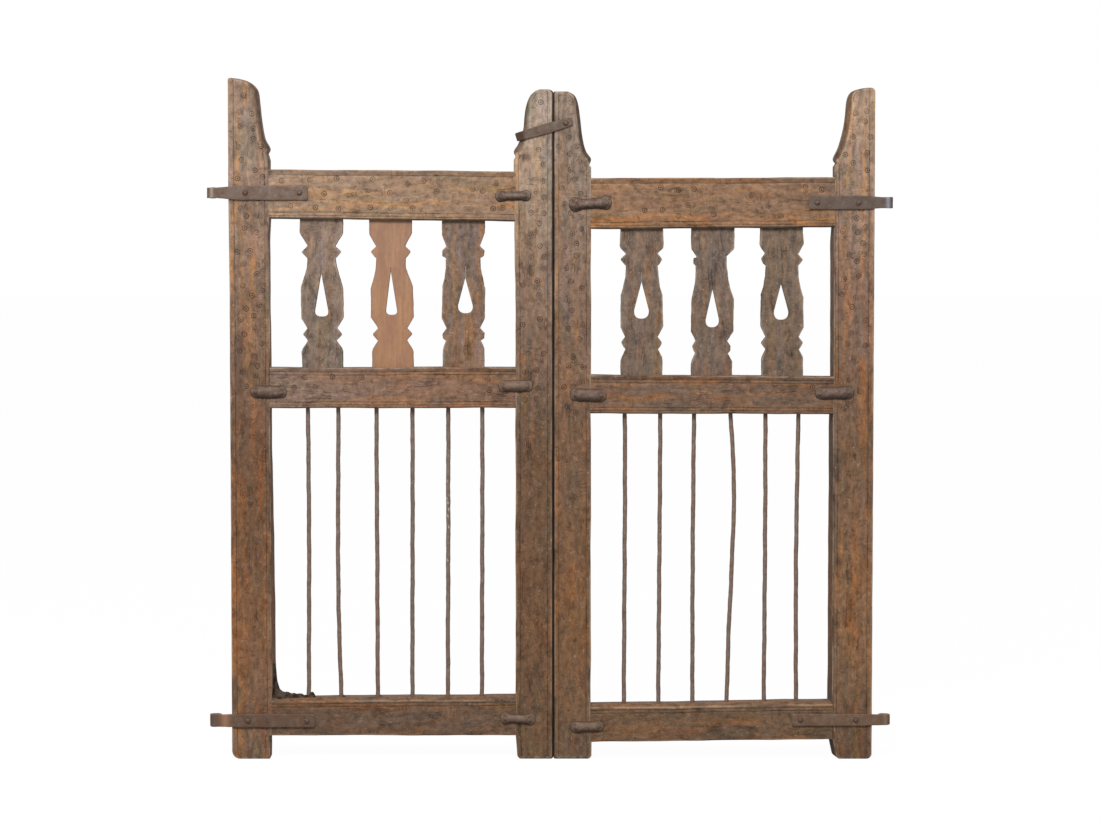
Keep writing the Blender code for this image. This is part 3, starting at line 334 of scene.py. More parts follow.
class Nodes:
    """A node tree and the few kinds of node that the finishes are made of."""

    def __init__(self, tree):
        self.tree = tree

    def node(self, kind, settings, values, output=0):
        """Add a node: its settings first, then a number or a link for each named socket."""
        node = self.tree.nodes.new(kind)
        for key, value in settings.items():
            if key == "stops":
                ramp = node.color_ramp
                while len(ramp.elements) < len(value):
                    ramp.elements.new(1.0)
                for stop, (position, colour) in zip(ramp.elements, value):
                    stop.position = position
                    stop.color = colour
            else:
                setattr(node, key, value)
        for key, value in values.items():
            if isinstance(value, Value):
                self.tree.links.new(value.socket, node.inputs[key])
            else:
                node.inputs[key].default_value = value
        return Value(self, node.outputs[output])

    def noise(self, place, scale, detail=3.0, shift=0.0, roughness=0.55):
        """Noise with its own number of features a metre along X, Y and Z."""
        moved = self.node("ShaderNodeMapping", {}, {"Vector": place, "Location": (shift, shift, shift),
                                                    "Scale": scale})
        return self.node("ShaderNodeTexNoise", {}, {"Vector": moved, "Scale": 1.0, "Detail": detail,
                                                    "Roughness": roughness})

    def attribute(self, name, output):
        """A value that the mesh carries at its points."""
        return self.node("ShaderNodeAttribute", {"attribute_name": name}, {}, output)

    def part(self, value, number, kind="Color"):
        """One part of a colour, or of a place if the kind is XYZ."""
        return self.node("ShaderNodeSeparate" + kind, {}, {0: value}, number)

    def step(self, value, low, high):
        """0 below low, 1 above high and a smooth rise between them."""
        return self.node("ShaderNodeMapRange", {"interpolation_type": "SMOOTHSTEP"},
                         {"Value": value, "From Min": low, "From Max": high})

    def mix(self, share, first, second, kind="MIX"):
        """One colour laid over another."""
        return self.node("ShaderNodeMix", {"data_type": "RGBA", "blend_type": kind},
                         {0: share, 6: first, 7: second}, 2)

    def scaled(self, colour, factor):
        """A colour made lighter or darker by a factor."""
        return self.node("ShaderNodeVectorMath", {"operation": "SCALE"}, {0: colour, "Scale": factor})

    def stained(self, share, colour, stain):
        """A colour that a stain, one factor each for red, green and blue, changes by a share."""
        return self.mix(share, colour, self.node("ShaderNodeVectorMath", {"operation": "MULTIPLY"},
                                                 {0: colour, 1: stain}))

    def finish(self, colour, roughness, metallic, height, depth, specular):
        """Feed the material's shader: varying colour and roughness, and a height in metres as bump."""
        shader = self.tree.nodes["Principled BSDF"]
        bump = self.node("ShaderNodeBump", {}, {"Strength": 1.0, "Distance": depth, "Height": height})
        self.tree.links.new(colour.socket, shader.inputs["Base Color"])
        self.tree.links.new(roughness.socket, shader.inputs["Roughness"])
        self.tree.links.new(bump.socket, shader.inputs["Normal"])
        shader.inputs["Metallic"].default_value = metallic
        shader.inputs["Specular IOR Level"].default_value = specular


def tone(red, green, blue):
    """A colour given as 8-bit sRGB, in the linear light that shaders take."""
    share = np.array((red, green, blue)) / 255.0
    linear = np.where(share <= 0.04045, share / 12.92, ((share + 0.055) / 1.055) ** 2.4)
    return (*linear.tolist(), 1.0)


def start_finish(name):
    """A new material, its nodes, and the place on the object that its patterns are drawn by."""
    material = bpy.data.materials.new(name)
    material.use_nodes = True
    nodes = Nodes(material.node_tree)
    return material, nodes, nodes.node("ShaderNodeTexCoord", {}, {}, "Object")


GATE_HEIGHT = 1.3
OCHRE = (1.34, 1.10, 0.76)      # stains, as factors of the linear colour below
LILAC = (0.92, 0.96, 1.12)
OLIVE = (0.74, 0.86, 0.89)
RUSSET = (1.18, 0.88, 0.64)
SOOT = (0.40, 0.38, 0.38)
RING_RADIUS = 4.3 * MM          # of a punched mark; then how its ring and its dot fade outwards
RING_EDGE = (0.5 * MM, 1.35 * MM)
DOT_EDGE = (0.9 * MM, 2.1 * MM)


def old_wood(name, grain, tones, warm, grey, figure, shift, punch=1.0):
    """Weathered wood: a tone along the grain, stained in patches and streaks, then speckled and cracked.

    grain is the axis that the fibres follow; tones are (metres along it, tone), along X from half the gate's
    height left of the middle; warm and grey are shares of the ochre and russet stains and of the lilac and
    olive ones; figure is how strong the streaks are, punch how dark the punched marks are.
    """
    material, nodes, place = start_finish(name)

    def grained(across, along, detail, offset, roughness=0.55):
        """Noise drawn out along the grain, in features a metre."""
        scale = (along, across, across) if grain == "X" else (across, across, along)
        return nodes.noise(bent, scale, detail, shift + offset, roughness)

    drift = nodes.node("ShaderNodeTexNoise", {}, {"Vector": place, "Scale": 14.0, "Detail": 4.0}, 1)
    bent = nodes.node("ShaderNodeVectorMath", {"operation": "MULTIPLY_ADD"},
                      {0: drift, 1: (0.022, 0.022, 0.022), 2: place})
    level = nodes.part(bent, 2, "XYZ") * (1.0 / GATE_HEIGHT)
    spot = nodes.part(bent, 0, "XYZ") * (1.0 / GATE_HEIGHT) + 0.5
    stops = [(run / GATE_HEIGHT, shade) for run, shade in tones]
    colour = nodes.node("ShaderNodeValToRGB", {"stops": stops}, {0: spot if grain == "X" else level})
    fading = 1.0 - level * 0.55

    blots = nodes.noise(place, (95.0, 95.0, 95.0), 5.0, shift + 21.0, 0.68)
    clouds = nodes.noise(place, (30.0, 30.0, 24.0), 5.0, shift + 3.0, 0.62)
    for stain, share, pattern, (bare, full) in (
            (OLIVE, grey, (46.0, 8.0, 5.0, 7.0, 0.6), (0.49, 0.64)),
            (LILAC, grey, (38.0, 14.0, 5.0, 17.0, 0.6), (0.50, 0.64)),
            (OCHRE, warm, (82.0, 4.5, 3.0, 13.0, 0.46), (0.52, 0.64)),
            (RUSSET, fading * warm, (48.0, 9.0, 5.0, 23.0, 0.6), (0.50, 0.66))):
        colour = nodes.stained(nodes.step(grained(*pattern), bare, full) * share, colour, stain)
    colour = nodes.stained(nodes.step(clouds, 0.52, 0.70) * 0.5, colour, SOOT)
    streaks = grained(100.0, 11.0, 4.0, 0.0, 0.54)
    colour = nodes.scaled(colour, 1.04 + (streaks - 0.5) * figure)
    mottle = grained(120.0, 62.0, 5.0, 27.0, 0.61)
    colour = nodes.scaled(colour, 1.0 + (mottle - 0.5) * 1.9)
    fine = grained(620.0, 170.0, 2.0, 5.0)
    colour = nodes.scaled(colour, 1.0 + (fine - 0.5) * 0.4)
    dirt = nodes.step(blots, 0.56, 0.70)
    colour = nodes.stained(dirt * 0.6, colour, SOOT)
    rift = abs(grained(48.0, 3.2, 3.0, 31.0) - 0.5)
    crack = (1.0 - nodes.step(rift, 0.003, 0.010)) * nodes.step(clouds, 0.50, 0.60)
    colour = nodes.stained(crack * 0.5, colour, SOOT)
    chops = nodes.step(grained(70.0, 390.0, 4.0, 51.0, 0.6), 0.57, 0.68) * nodes.step(clouds, 0.56, 0.40)
    colour = nodes.stained(chops * 0.4, colour, SOOT)
    dust = nodes.noise(place, (330.0, 330.0, 330.0), 3.0, shift)
    flecks = nodes.step(grained(330.0, 110.0, 3.0, 41.0), 0.58, 0.70) * nodes.step(blots, 0.58, 0.42)
    colour = nodes.mix(flecks * 0.36, colour, nodes.mix(0.5, colour, tone(226, 204, 180)))
    specks = nodes.step(dust, 0.65, 0.73) * nodes.step(clouds, 0.40, 0.55)
    colour = nodes.mix(specks * 0.55, colour, tone(205, 188, 170))

    wear = nodes.attribute("wear", "Color")
    # Parts of wear: worn edges; dark lines, which are the scratched lines and also painted shade in the seam
    # and under the rails; dark chamfers and bands, some of them painted shade on side faces, along edges
    # beside the panels and along the splats' sawn edges
    worn, lines, chamfer = (nodes.part(wear, number) for number in range(3))
    band = nodes.attribute("wear", "Alpha")
    uneven = nodes.step(streaks, 0.36, 0.62)
    colour = nodes.stained(band * uneven * 0.8, colour, (1.36, 1.14, 0.82))
    colour = nodes.stained(chamfer * (0.75 + blots * 0.4), colour, (0.33, 0.30, 0.28))
    colour = nodes.mix(worn * uneven * 0.6, colour, nodes.mix(0.6, colour, tone(216, 194, 170)))
    colour = nodes.mix(lines * 0.9, colour, nodes.scaled(colour, 0.13))

    mark = nodes.attribute("mark", "Vector")
    radius = nodes.node("ShaderNodeVectorMath", {"operation": "LENGTH"}, {0: mark}, "Value")
    ring = 1.0 - nodes.step(abs(radius - RING_RADIUS), *RING_EDGE)
    dot = 1.0 - nodes.step(radius, *DOT_EDGE)
    high = nodes.step(level, 0.40, 0.55)
    sharp = (nodes.step(blots, 0.62, 0.42) * 0.45 + 0.25) * (high * 0.75 + 0.25) * punch
    rubbed = (ring + dot) * (1.0 - high) * nodes.step(blots, 0.56, 0.44) * 0.3
    colour = nodes.mix(rubbed, colour, tone(172, 150, 128))
    colour = nodes.stained(ring * sharp, colour, (0.16, 0.14, 0.14))
    colour = nodes.stained(dot * sharp * 1.3, colour, (0.10, 0.08, 0.08))

    height = (streaks * 0.4 + mottle * 0.9 + fine * 0.4 - crack * 0.9 - dirt * 0.3 - chops * 0.4
              - ring * sharp * 0.8 - dot * sharp * 0.9)
    roughness = 0.66 + dust * 0.2
    nodes.finish(colour, roughness, 0.0, height, 1.1 * MM, 0.3)
    return material


STILE_LINES = ((10.0 * MM,), (8.5 * MM,))
SEAM_REACH = 1.5 * MM           # meeting edges stand out this far, so that the seam is thin
# The seam's chamfers and side faces are painted dark: painted shade in the gap between the leaves
SEAM_CUT = 2.6 * MM             # width of their dark chamfer
# Each stile: leaf, way from its straight edge to its shaped one, round of the head's straight corner,
# width of the chamfer at the head and at the bead, the tones from foot to head, the horn from below its
# notch up and the marks punched in it, both as (height, width), in millimetres
STILES = {
    "left_outer_stile": ("left_leaf", 1.0, 4.0, (10.5, 10.0), (
        (120, 93, 73), (128, 90, 61), (105, 77, 56), (138, 108, 87), (151, 126, 108)), (
        (1111.0, 74.4), (1123.5, 70.8), (1128.0, 73.4), (1132.0, 74.4), (1137.0, 72.4), (1153.0, 64.5),
        (1184.0, 59.2), (1215.0, 55.8), (1237.0, 53.0), (1247.5, 46.5), (1255.5, 36.0), (1260.0, 20.5),
        (1261.9, 5.0)), (
        (1230.0, 28.0), (1199.0, 22.0), (1196.0, 43.0), (1173.0, 22.0), (1169.0, 45.0), (1150.0, 46.0),
        (1135.0, 19.0), (1136.0, 60.0), (1111.0, 23.0), (1092.0, 48.0), (1077.0, 16.0), (1080.0, 62.0))),
    "left_meeting_stile": ("left_leaf", -1.0, 10.0, (8.5, 13.0), (
        (106, 82, 61), (111, 80, 55), (102, 76, 55), (132, 107, 89), (166, 145, 126)), (
        (1111.0, 68.1), (1118.0, 64.8), (1122.0, 67.2), (1126.5, 68.1), (1131.0, 66.4), (1142.0, 59.5),
        (1167.5, 50.8), (1191.0, 48.5), (1211.0, 45.2), (1227.5, 38.7), (1236.5, 30.0), (1240.9, 21.0)), (
        (1217.0, 21.0), (1130.0, 25.0), (1103.0, 16.0), (1072.0, 18.0), (1053.0, 30.0))),
    "right_meeting_stile": ("right_leaf", 1.0, 3.0, (7.5, 8.5), (
        (112, 88, 67), (119, 86, 58), (119, 88, 64), (129, 103, 85), (139, 120, 105)), (
        (1098.0, 68.1), (1102.0, 64.8), (1107.0, 67.0), (1112.0, 68.1), (1116.5, 66.6), (1124.5, 60.5),
        (1135.5, 56.0), (1157.5, 51.5), (1188.5, 48.0), (1210.0, 45.0), (1224.0, 41.0), (1231.5, 35.5),
        (1236.9, 25.5)), (
        (1136.0, 9.0), (1137.0, 42.0), (1122.0, 29.0), (1108.0, 46.0), (1152.0, 27.0), (1093.0, 30.0),
        (1075.0, 38.0), (1060.0, 14.0))),
    "right_outer_stile": ("right_leaf", -1.0, 8.0, (9.5, 10.0), (
        (106, 82, 65), (133, 98, 69), (114, 86, 64), (135, 104, 84), (161, 134, 112)), (
        (1099.0, 74.4), (1105.5, 70.2), (1109.5, 73.4), (1113.5, 74.4), (1118.0, 73.2), (1134.0, 65.5),
        (1154.0, 59.5), (1174.0, 55.0), (1194.0, 52.3), (1222.5, 49.3), (1236.5, 42.0), (1241.8, 28.0),
        (1243.9, 14.0)), (
        (1197.0, 36.0), (1182.0, 19.0), (1201.0, 16.0), (1154.0, 41.0), (1153.0, 9.0), (1124.0, 15.0),
        (1121.0, 55.0), (1106.0, 40.0), (1092.0, 14.0), (1090.0, 64.0))),
}
TONE_LEVELS = (0.03, 0.25, 0.58, 0.90, 1.20)
# Each stile's bands beside its edges: warm stains, a dark line along the outer edge, and painted shade
# along the shaped edge beside the panel and on the seam side of the meeting stiles; then in millimetres:
# the rounds of its foot at the straight and at the shaped edge, how far the foot is cut back there and
# over which height, how far the straight edge stands back behind its front lip, how far the rear of the
# shaped edge stands out at the twist levels, and how far the straight and the shaped edge spread above
# the middle; then how dark the inner side face is painted, as its shade, and for the horn's chamfer how
# dark it is, over which run and the power of its fall
STILE_EDGES = {
    "left_outer_stile": (
        ((1, 8.0 * MM, 3, 0.7), (1, 1.6 * MM, 2, 0.5), (-1, 2.6 * MM, 2, 0.8)),
        (15.0, 1.0), (3.5, 4.0), 0.0, (0.0, 4.0, 4.0, 1.8, 0.0, -1.2, -2.0, 0.0),
        (1.3, -0.5), 0.3, (1.0, 7.5 * MM, 1.6)),
    "left_meeting_stile": (
        ((1, SEAM_CUT, 1, 1.0), (-1, 1.8 * MM, 2, 0.6)),
        (4.0, 8.0), (2.5, 44.0), -2.0, (0.0,) * 8, (0.0, 3.0), 0.3, (0.95, 7.0 * MM, 1.0)),
    "right_meeting_stile": (
        ((1, SEAM_CUT, 1, 1.0), (1, 10.5 * MM, 3, 0.6), (-1, 1.5 * MM, 2, 0.4)),
        (4.0, 8.0), (-1.6, 10.0), 3.4, (0.0,) * 8, (0.0, 0.0), 0.3, (1.0, 3.0 * MM, 1.0)),
    "right_outer_stile": (
        ((1, 8.0 * MM, 3, 0.6), (1, 1.6 * MM, 2, 0.5), (-1, 3.2 * MM, 2, 0.85)),
        (10.0, 6.0), (9.0, 42.0), 0.0, (5.2, 5.2, 4.7, 4.7, 5.0, 3.2, 3.6, 0.0),
        (0.0, 0.0), 0.7, (1.0, 4.0 * MM, 1.2)),
}
TWIST_LEVELS = (0.11, 0.14, 0.30, 0.42, 0.56, 0.70, 0.96, 1.02)
SHAPED_WANDER = (0.31, 0.7 * MM)    # length and size of the wander of the shaped and the straight edge
STRAIGHT_WANDER = (0.26, 0.3 * MM)
FOOT_CUT_TOP = 46.0 * MM        # height at which a foot starts to be cut back
SPREAD_FROM, SPREAD_OVER = 0.88, 0.17   # height above which the edges spread, and over which
UPPER_MARKS = (0.64, 1.05, 26)  # heights between which marks are strewn, and how many
LOWER_MARKS = (0.16, 0.60, 12)
KNOT = (1117.0, 49.0, 8.0)      # a dark knot in the left meeting stile: height, width and radius in mm


def corner(rise, radius):
    """How far a rounded corner stands back from its edge, at a height above its end."""
    rest = np.clip(radius - rise, 0.0, radius)
    return radius - np.sqrt(radius ** 2 - rest ** 2)


def stile_shape(width, top, head_corner, horn_cuts, horn, foot_rounds, foot_step, seam, spread, seed):
    """Rows up a stile with both edges, and its outline with the chamfer's width at each point.

    seam is how far the straight edge is brought out and how wide its chamfer is; spread is how far the
    straight and the shaped edge stand out above the middle.
    """
    straight_foot, shaped_foot = np.array(foot_rounds) * MM
    reach, seam_cut = seam
    horn = np.array(horn) * MM
    notch = through(horn[:2], 1.5 * MM)[:-1]
    flare = through(horn[1:], 1.6 * MM)
    foot = np.array((0.0, 0.4, 1.2, 2.4, 4.0, 6.0, 8.0, 10.0)) * MM
    shaft = np.arange(12.5 * MM, horn[0, 0] - 1.0 * MM, 2.5 * MM)
    rows = np.concatenate((foot, shaft, notch[:, 0], np.maximum.accumulate(flare[:, 0])))
    shaped = np.concatenate((np.full(len(foot) + len(shaft), width), notch[:, 1], flare[:, 1]))
    calm = unit((horn[0, 0] - rows) / 0.05)
    shaped = shaped - corner(rows, shaped_foot) + waver(seed, rows, *SHAPED_WANDER) * calm
    shaped -= foot_step[0] * MM * unit((FOOT_CUT_TOP - rows) / (foot_step[1] * MM))
    straight = corner(rows, straight_foot) + corner(top - rows, head_corner * MM) - reach
    higher = unit((rows - SPREAD_FROM) / SPREAD_OVER)
    shaped = shaped + spread[1] * MM * higher
    straight = straight - spread[0] * MM * higher
    straight = np.minimum(straight + np.abs(waver(seed + 1, rows, *STRAIGHT_WANDER)), shaped - 2.0 * MM)
    plain = len(foot) + len(shaft)
    rise = unit((rows[plain:] - horn[1, 0]) / (top - horn[1, 0]))
    fade = unit((top - rows[plain:]) / 0.03) * 0.7 + 0.3
    cuts = np.zeros(len(rows))
    at_head, at_bead = horn_cuts
    cuts[plain:] = (at_bead + (at_head - at_bead) * rise) * MM * unit(rise / 0.05) * fade
    thin = np.r_[:len(foot), len(foot):plain:14, plain:len(rows)]
    up = np.stack((rows, shaped), 1)[thin]
    down = np.stack((rows, straight), 1)[thin][::-1]
    cuts = np.concatenate((cuts[thin], np.full(len(down), seam_cut)))
    return rows, straight, shaped, np.vstack((up, down)), cuts


for seed, (name, (leaf, way, head_corner, horn_cuts, tones, horn, punched)) in enumerate(STILES.items()):
    low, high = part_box(name)
    width = high.x - low.x
    outer = "outer" in name
    bands, foot_rounds, foot_step, seam_ease, twist, spread, side_dark, worn_cut = STILE_EDGES[name]
    seam = (0.0, 0.0) if outer else (SEAM_REACH, SEAM_CUT)
    shape = stile_shape(width, high.z, head_corner, horn_cuts, horn, foot_rounds, foot_step, seam, spread,
                        40 + seed)
    rows = shape[0]
    standing_out = np.interp(rows, TWIST_LEVELS, twist) * MM
    rings, wear, fronts = timber(*shape, worn_cut, (low.y, high.y), *STILE_LINES, bands,
                                 (seam_ease * MM, -standing_out), 60 + seed)
    wear[..., 3] *= np.interp(rows, (1.0, 1.16), (1.0, 0.2))[:, None]
    if outer:
        # Painted shade on the inner side face beside the panel
        wear[:, fronts:fronts + 3, 2] = side_dark
    else:
        # Painted shade: the side faces in the seam between the leaves are made dark
        wear[:, -3:, 1:3] = 1.0
    if name == "left_meeting_stile":
        off = np.hypot(rings[..., 0] - KNOT[0] * MM, rings[..., 1] - KNOT[1] * MM) / (KNOT[2] * MM)
        wear[..., 2] = np.maximum(wear[..., 2], np.exp(-off ** 4))
    marks = np.array(punched) * MM
    for first_seed, (lowest, highest, count), inset in ((80, UPPER_MARKS, 13.0), (70, LOWER_MARKS, 14.0)):
        marks = scatter(first_seed + seed, (lowest, 14.0 * MM), (highest, width - inset * MM), count, marks)
    offsets = mark_offsets(rings, fronts, marks)
    start = low.x if way > 0.0 else high.x
    points = with_poles(rings)
    points = np.stack((start + way * points[:, 1], points[:, 2], points[:, 0]), 1)
    heights = [(level, tone(*shade)) for level, shade in zip(TONE_LEVELS, tones)]
    wood = old_wood(name + "_finish", "Z", heights, 0.85 if outer else 0.55, 0.65, 1.15 if outer else 0.85,
                    10.0 * seed)
    add_piece(name + "_wood", points, ring_faces(rings), leaf, "weathered_wood", wood, [name],
              wear=with_poles(wear), mark=with_poles(offsets))

# Rails: three cross pieces of the same old wood in each leaf, tenoned right through the stiles.
# Their edges are worn round; lines were scratched along them with a gauge before the marks were punched.
RAIL_LAP = 1.0 * MM             # how far a rail shows into its stiles
RAIL_ROWS = 184
LOWER_WANDER = (0.28, 0.6 * MM)     # length and size of the wander of the lower and the upper edge
UPPER_WANDER = (0.34, 0.7 * MM)
TENON_PROUD = 0.6 * MM
TENON_SHOULDER = 6.0 * MM
TENON_FACE = (15.0 * MM, 30.0 * MM)     # front and rear of the tenon behind the face of the rail
# Lines above the lower edge and below the upper one in millimetres, the chamfer of the upper edge, the
# bands beside the edges, and how many marks are strewn on the left and on the right leaf. The dark band
# along the lower edge of the middle and the top rail is painted shade under the rail
RAILS = {
    "bottom": ((), (10.5, 16.5), 6.0, ((1, 2.0 * MM, 2, 0.5), (-1, 6.5 * MM, 3, 0.9)), (3, 3)),
    "middle": ((5.5, 11.0), (8.0, 13.5), 0.0,
               ((1, 10.0 * MM, 3, 0.4), (1, 2.6 * MM, 1, 0.85), (-1, 7.5 * MM, 2, 0.4)), (3, 2)),
    "top": ((6.0, 12.5), (10.0,), 0.0,
            ((1, 12.0 * MM, 3, 0.3), (1, 3.4 * MM, 1, 1.0), (-1, 9.5 * MM, 2, 0.4)), (14, 14)),
}
# Tones of each rail at its left and at its right end
RAIL_TONES = {
    "left_bottom_rail": ((108, 84, 66), (109, 84, 65)), "left_middle_rail": ((136, 111, 95), (127, 94, 72)),
    "left_top_rail": ((156, 130, 108), (147, 116, 90)), "right_bottom_rail": ((113, 86, 64), (112, 87, 66)),
    "right_middle_rail": ((119, 93, 74), (116, 89, 70)), "right_top_rail": ((143, 108, 80), (133, 103, 80)),
}
# How far each rail's lower edge and upper edge lie off level, at its left and right end, in millimetres
RAIL_SLOPES = {
    "left_bottom_rail": ((0.0, 0.0), (2.5, 6.0)), "left_middle_rail": ((0.0, 0.5), (0.5, 1.5)),
    "left_top_rail": ((2.5, -2.8), (3.2, -0.4)), "right_bottom_rail": ((-2.4, 3.0), (0.0, 7.0)),
    "right_middle_rail": ((0.0, -1.0), (1.0, -1.5)), "right_top_rail": ((-3.0, 0.5), (1.0, 2.5)),
}
# Marks of the left leaf's rails that stand out, as (along from the stile, above the lower edge)
RAIL_MARKS = {
    "left_top_rail": ((24.0, 72.0), (76.0, 74.0), (125.0, 76.0), (192.0, 75.0), (102.0, 48.0), (157.0, 46.0),
                      (40.0, 26.0), (86.0, 23.0), (128.0, 20.0), (187.0, 23.0)),
    "left_middle_rail": ((65.0, 57.0), (116.0, 58.0), (170.0, 57.0), (84.0, 39.0), (45.0, 38.0),
                         (140.0, 35.0)),
}


def box_rings(low, high):
    """A plain bar as two rings of four corners, from its low end along X to its high end."""
    x = np.array((low[0], high[0]))[:, None] * np.ones(4)
    y = np.array((low[1], high[1], high[1], low[1])) * np.ones((2, 1))
    z = np.array((low[2], low[2], high[2], high[2])) * np.ones((2, 1))
    return np.stack((x, y, z), -1)


for leaf_number, leaf in enumerate(("left", "right")):
    boxes = (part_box(leaf + "_outer_stile"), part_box(leaf + "_meeting_stile"))
    left_box, right_box = sorted(boxes, key=lambda box: box[0].x)
    start, end = left_box[1].x - RAIL_LAP, right_box[0].x + RAIL_LAP
    for number, (rail, (low_lines, high_lines, chamfer, bands, counts)) in enumerate(RAILS.items()):
        name = "%s_%s_rail" % (leaf, rail)
        low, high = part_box(name)
        seed = 200 + 20 * leaf_number + 4 * number
        height = high.z - low.z
        rows = np.linspace(0.0, end - start, RAIL_ROWS)
        low_slope, high_slope = RAIL_SLOPES[name]
        lower = waver(seed, rows, *LOWER_WANDER) + np.linspace(*low_slope, len(rows)) * MM
        upper = height + waver(seed + 1, rows, *UPPER_WANDER) + np.linspace(*high_slope, len(rows)) * MM
        outline = np.vstack((np.stack((rows, upper), 1)[::4], np.stack((rows, lower), 1)[::-4]))
        outline[[0, -1], 0] -= 0.05
        outline[[len(outline) // 2 - 1, len(outline) // 2], 0] += 0.05
        cuts = np.repeat((chamfer * MM, 0.0), len(outline) // 2)
        cuts[len(outline) // 2 - 1] = 0.0
        lines = (np.array(low_lines) * MM, np.array(high_lines) * MM)
        rings, wear, fronts = timber(rows, lower, upper, outline, cuts, (0.0, MM, 1.0), (low.y, high.y),
                                     *lines, bands, (0.0, 0.0), seed)
        punched = np.array(RAIL_MARKS.get(name, np.empty((0, 2)))) * MM
        begin = 0.22 if len(punched) else 0.03
        marks = scatter(seed + 2, (begin, 17.0 * MM), (end - start - 0.02, height - 15.0 * MM),
                        counts[leaf_number], punched)
        offsets = mark_offsets(rings, fronts, marks)
        points = with_poles(rings)
        points = np.stack((start + points[:, 0], points[:, 2], low.z + points[:, 1]), 1)
        faces = ring_faces(rings)
        tenon = box_rings((low.x - TENON_PROUD, low.y + TENON_FACE[0], low.z + TENON_SHOULDER),
                          (high.x + TENON_PROUD, low.y + TENON_FACE[1], high.z - TENON_SHOULDER))
        faces += [[index + len(points) for index in face] for face in ring_faces(tenon)]
        tenon = with_poles(tenon)
        bare = np.zeros((len(tenon), 4))
        far = np.full((len(tenon), 3), AWAY)
        tones = [(GATE_HEIGHT / 2.0 + x, tone(*shade)) for x, shade in zip((start, end), RAIL_TONES[name])]
        wood = old_wood(name + "_finish", "X", tones, 0.85 if leaf == "right" else 0.65, 0.65,
                        0.8 if leaf == "right" else 0.6, 40.0 + 15.0 * number + 6.0 * leaf_number)
        add_piece(name + "_wood", np.vstack((points, tenon)), faces, leaf + "_leaf", "weathered_wood", wood,
                  [name], wear=np.vstack((with_poles(wear), bare)),
                  mark=np.vstack((with_poles(offsets), far)))

# Splats: three flat boards in each upper panel, sawn to a waisted outline with pointed beads, each with
# a teardrop sawn out and tenons in the rails. The second one on the left is a newer replacement.
SPLAT_LAP = 4.0 * MM            # how far a splat shows into its rails
SPLAT_ARRIS = 1.2 * MM
SPLAT_HALF = 39.5               # half width of the board before it was sawn, in millimetres
KERF = 0.35 * MM                # half width of the saw's cut above the teardrop
FOOT_POWER = 2.3                # the teardrop's foot: 2 is a circle, more is flatter
# The sawn outline: (drop from the top rail, half width), then (rise from the middle rail, half width)
SPLAT_DOWN = ((-4.0, 39.5), (23.0, 39.5), (27.5, 38.0), (46.5, 26.5), (48.5, 26.2), (56.5, 35.0),
              (59.5, 35.5), (66.5, 30.0), (70.5, 26.0), (88.0, 27.5), (107.0, 32.5), (122.5, 38.4),
              (126.0, 39.3))
SPLAT_UP = ((-4.0, 37.5), (30.0, 37.5), (36.0, 36.0), (50.5, 26.5), (55.0, 30.0), (61.0, 35.5), (64.0, 35.0),
            (73.5, 26.5), (91.0, 38.2), (94.0, 39.3))
BEADS = ((50.0, 68.0), (52.0, 68.0))    # between which drops and which rises the beads lie
BEAD_BACK = 4.0                 # how far a bead's point lies inside the board's edge
BEAD_HALF = 34.0                # half widths above this are a bead's point
SHOULDER, NOTCH, SWELLING = (20.0, 30.0), (45.0, 50.0), 80.0    # drops at which the upper shapes lie
BREAK, BREAK_HALF = (45.0, 90.0), 25.5  # drops between which a bead is broken off, and the half width left
SPLAT_WANDER = (0.05, 0.4 * MM)
SPLAT_MARKS = 3
SPLAT_PUNCH = 0.45              # how dark the marks on the splats are
SPLAT_WELD = 0.02 * MM
# Each splat, in millimetres: how far its top leans to the right, and how much lower its lower shapes, its
# upper shoulder and its upper notch were sawn; its teardrop's foot and tip above the middle rail, width,
# side shift, kerf above the tip and how tall its foot is against its radius; its tones at the foot and the
# top; how deep its left and right waists are, how far its beads stand out and how blunt they are; its warm
# and grey stains
SPLATS = {
    "left_splat_1": ((-1.9, 0.0, 0.0, 0.0), (95.0, 177.5, 25.0, -1.0, 14.0, 0.65),
                     (119, 102, 90), (135, 114, 99), (1.0, 1.0), 0.0, 0.0, (0.5, 0.7)),
    "left_splat_2": ((-4.7, 0.0, 0.0, 0.0), (98.0, 181.0, 20.5, -1.0, 6.0, 0.65),
                     (172, 132, 100), (164, 124, 100), (0.95, 1.0), 1.0, 0.0, (0.0, 0.0)),
    "left_splat_3": ((-0.6, 0.0, 0.0, 0.0), (101.0, 167.5, 27.5, 3.6, 22.0, 0.9),
                     (132, 104, 82), (121, 101, 90), (0.55, 0.6), 1.5, 0.8, (0.9, 0.9)),
    "right_splat_1": ((0.0, 2.0, 11.0, 0.0), (105.0, 174.0, 27.5, 0.0, 20.0, 1.0),
                      (114, 95, 81), (118, 98, 84), (0.75, 0.7), 1.0, 0.35, (0.6, 0.6)),
    "right_splat_2": ((1.5, 9.5, 13.0, 6.5), (89.0, 161.0, 25.0, 0.0, 12.0, 1.0),
                      (115, 94, 80), (116, 99, 87), (0.65, 0.85), -1.5, 0.5, (0.6, 0.7)),
    "right_splat_3": ((-2.4, 2.0, 7.5, 0.0), (103.0, 171.0, 27.5, -1.5, 8.0, 1.0),
                      (113, 94, 79), (117, 98, 82), (0.68, 0.65), 1.0, 0.2, (0.5, 0.6)),
}
NEWER_SPLAT = "left_splat_2"
BROKEN_SPLAT = "right_splat_2"


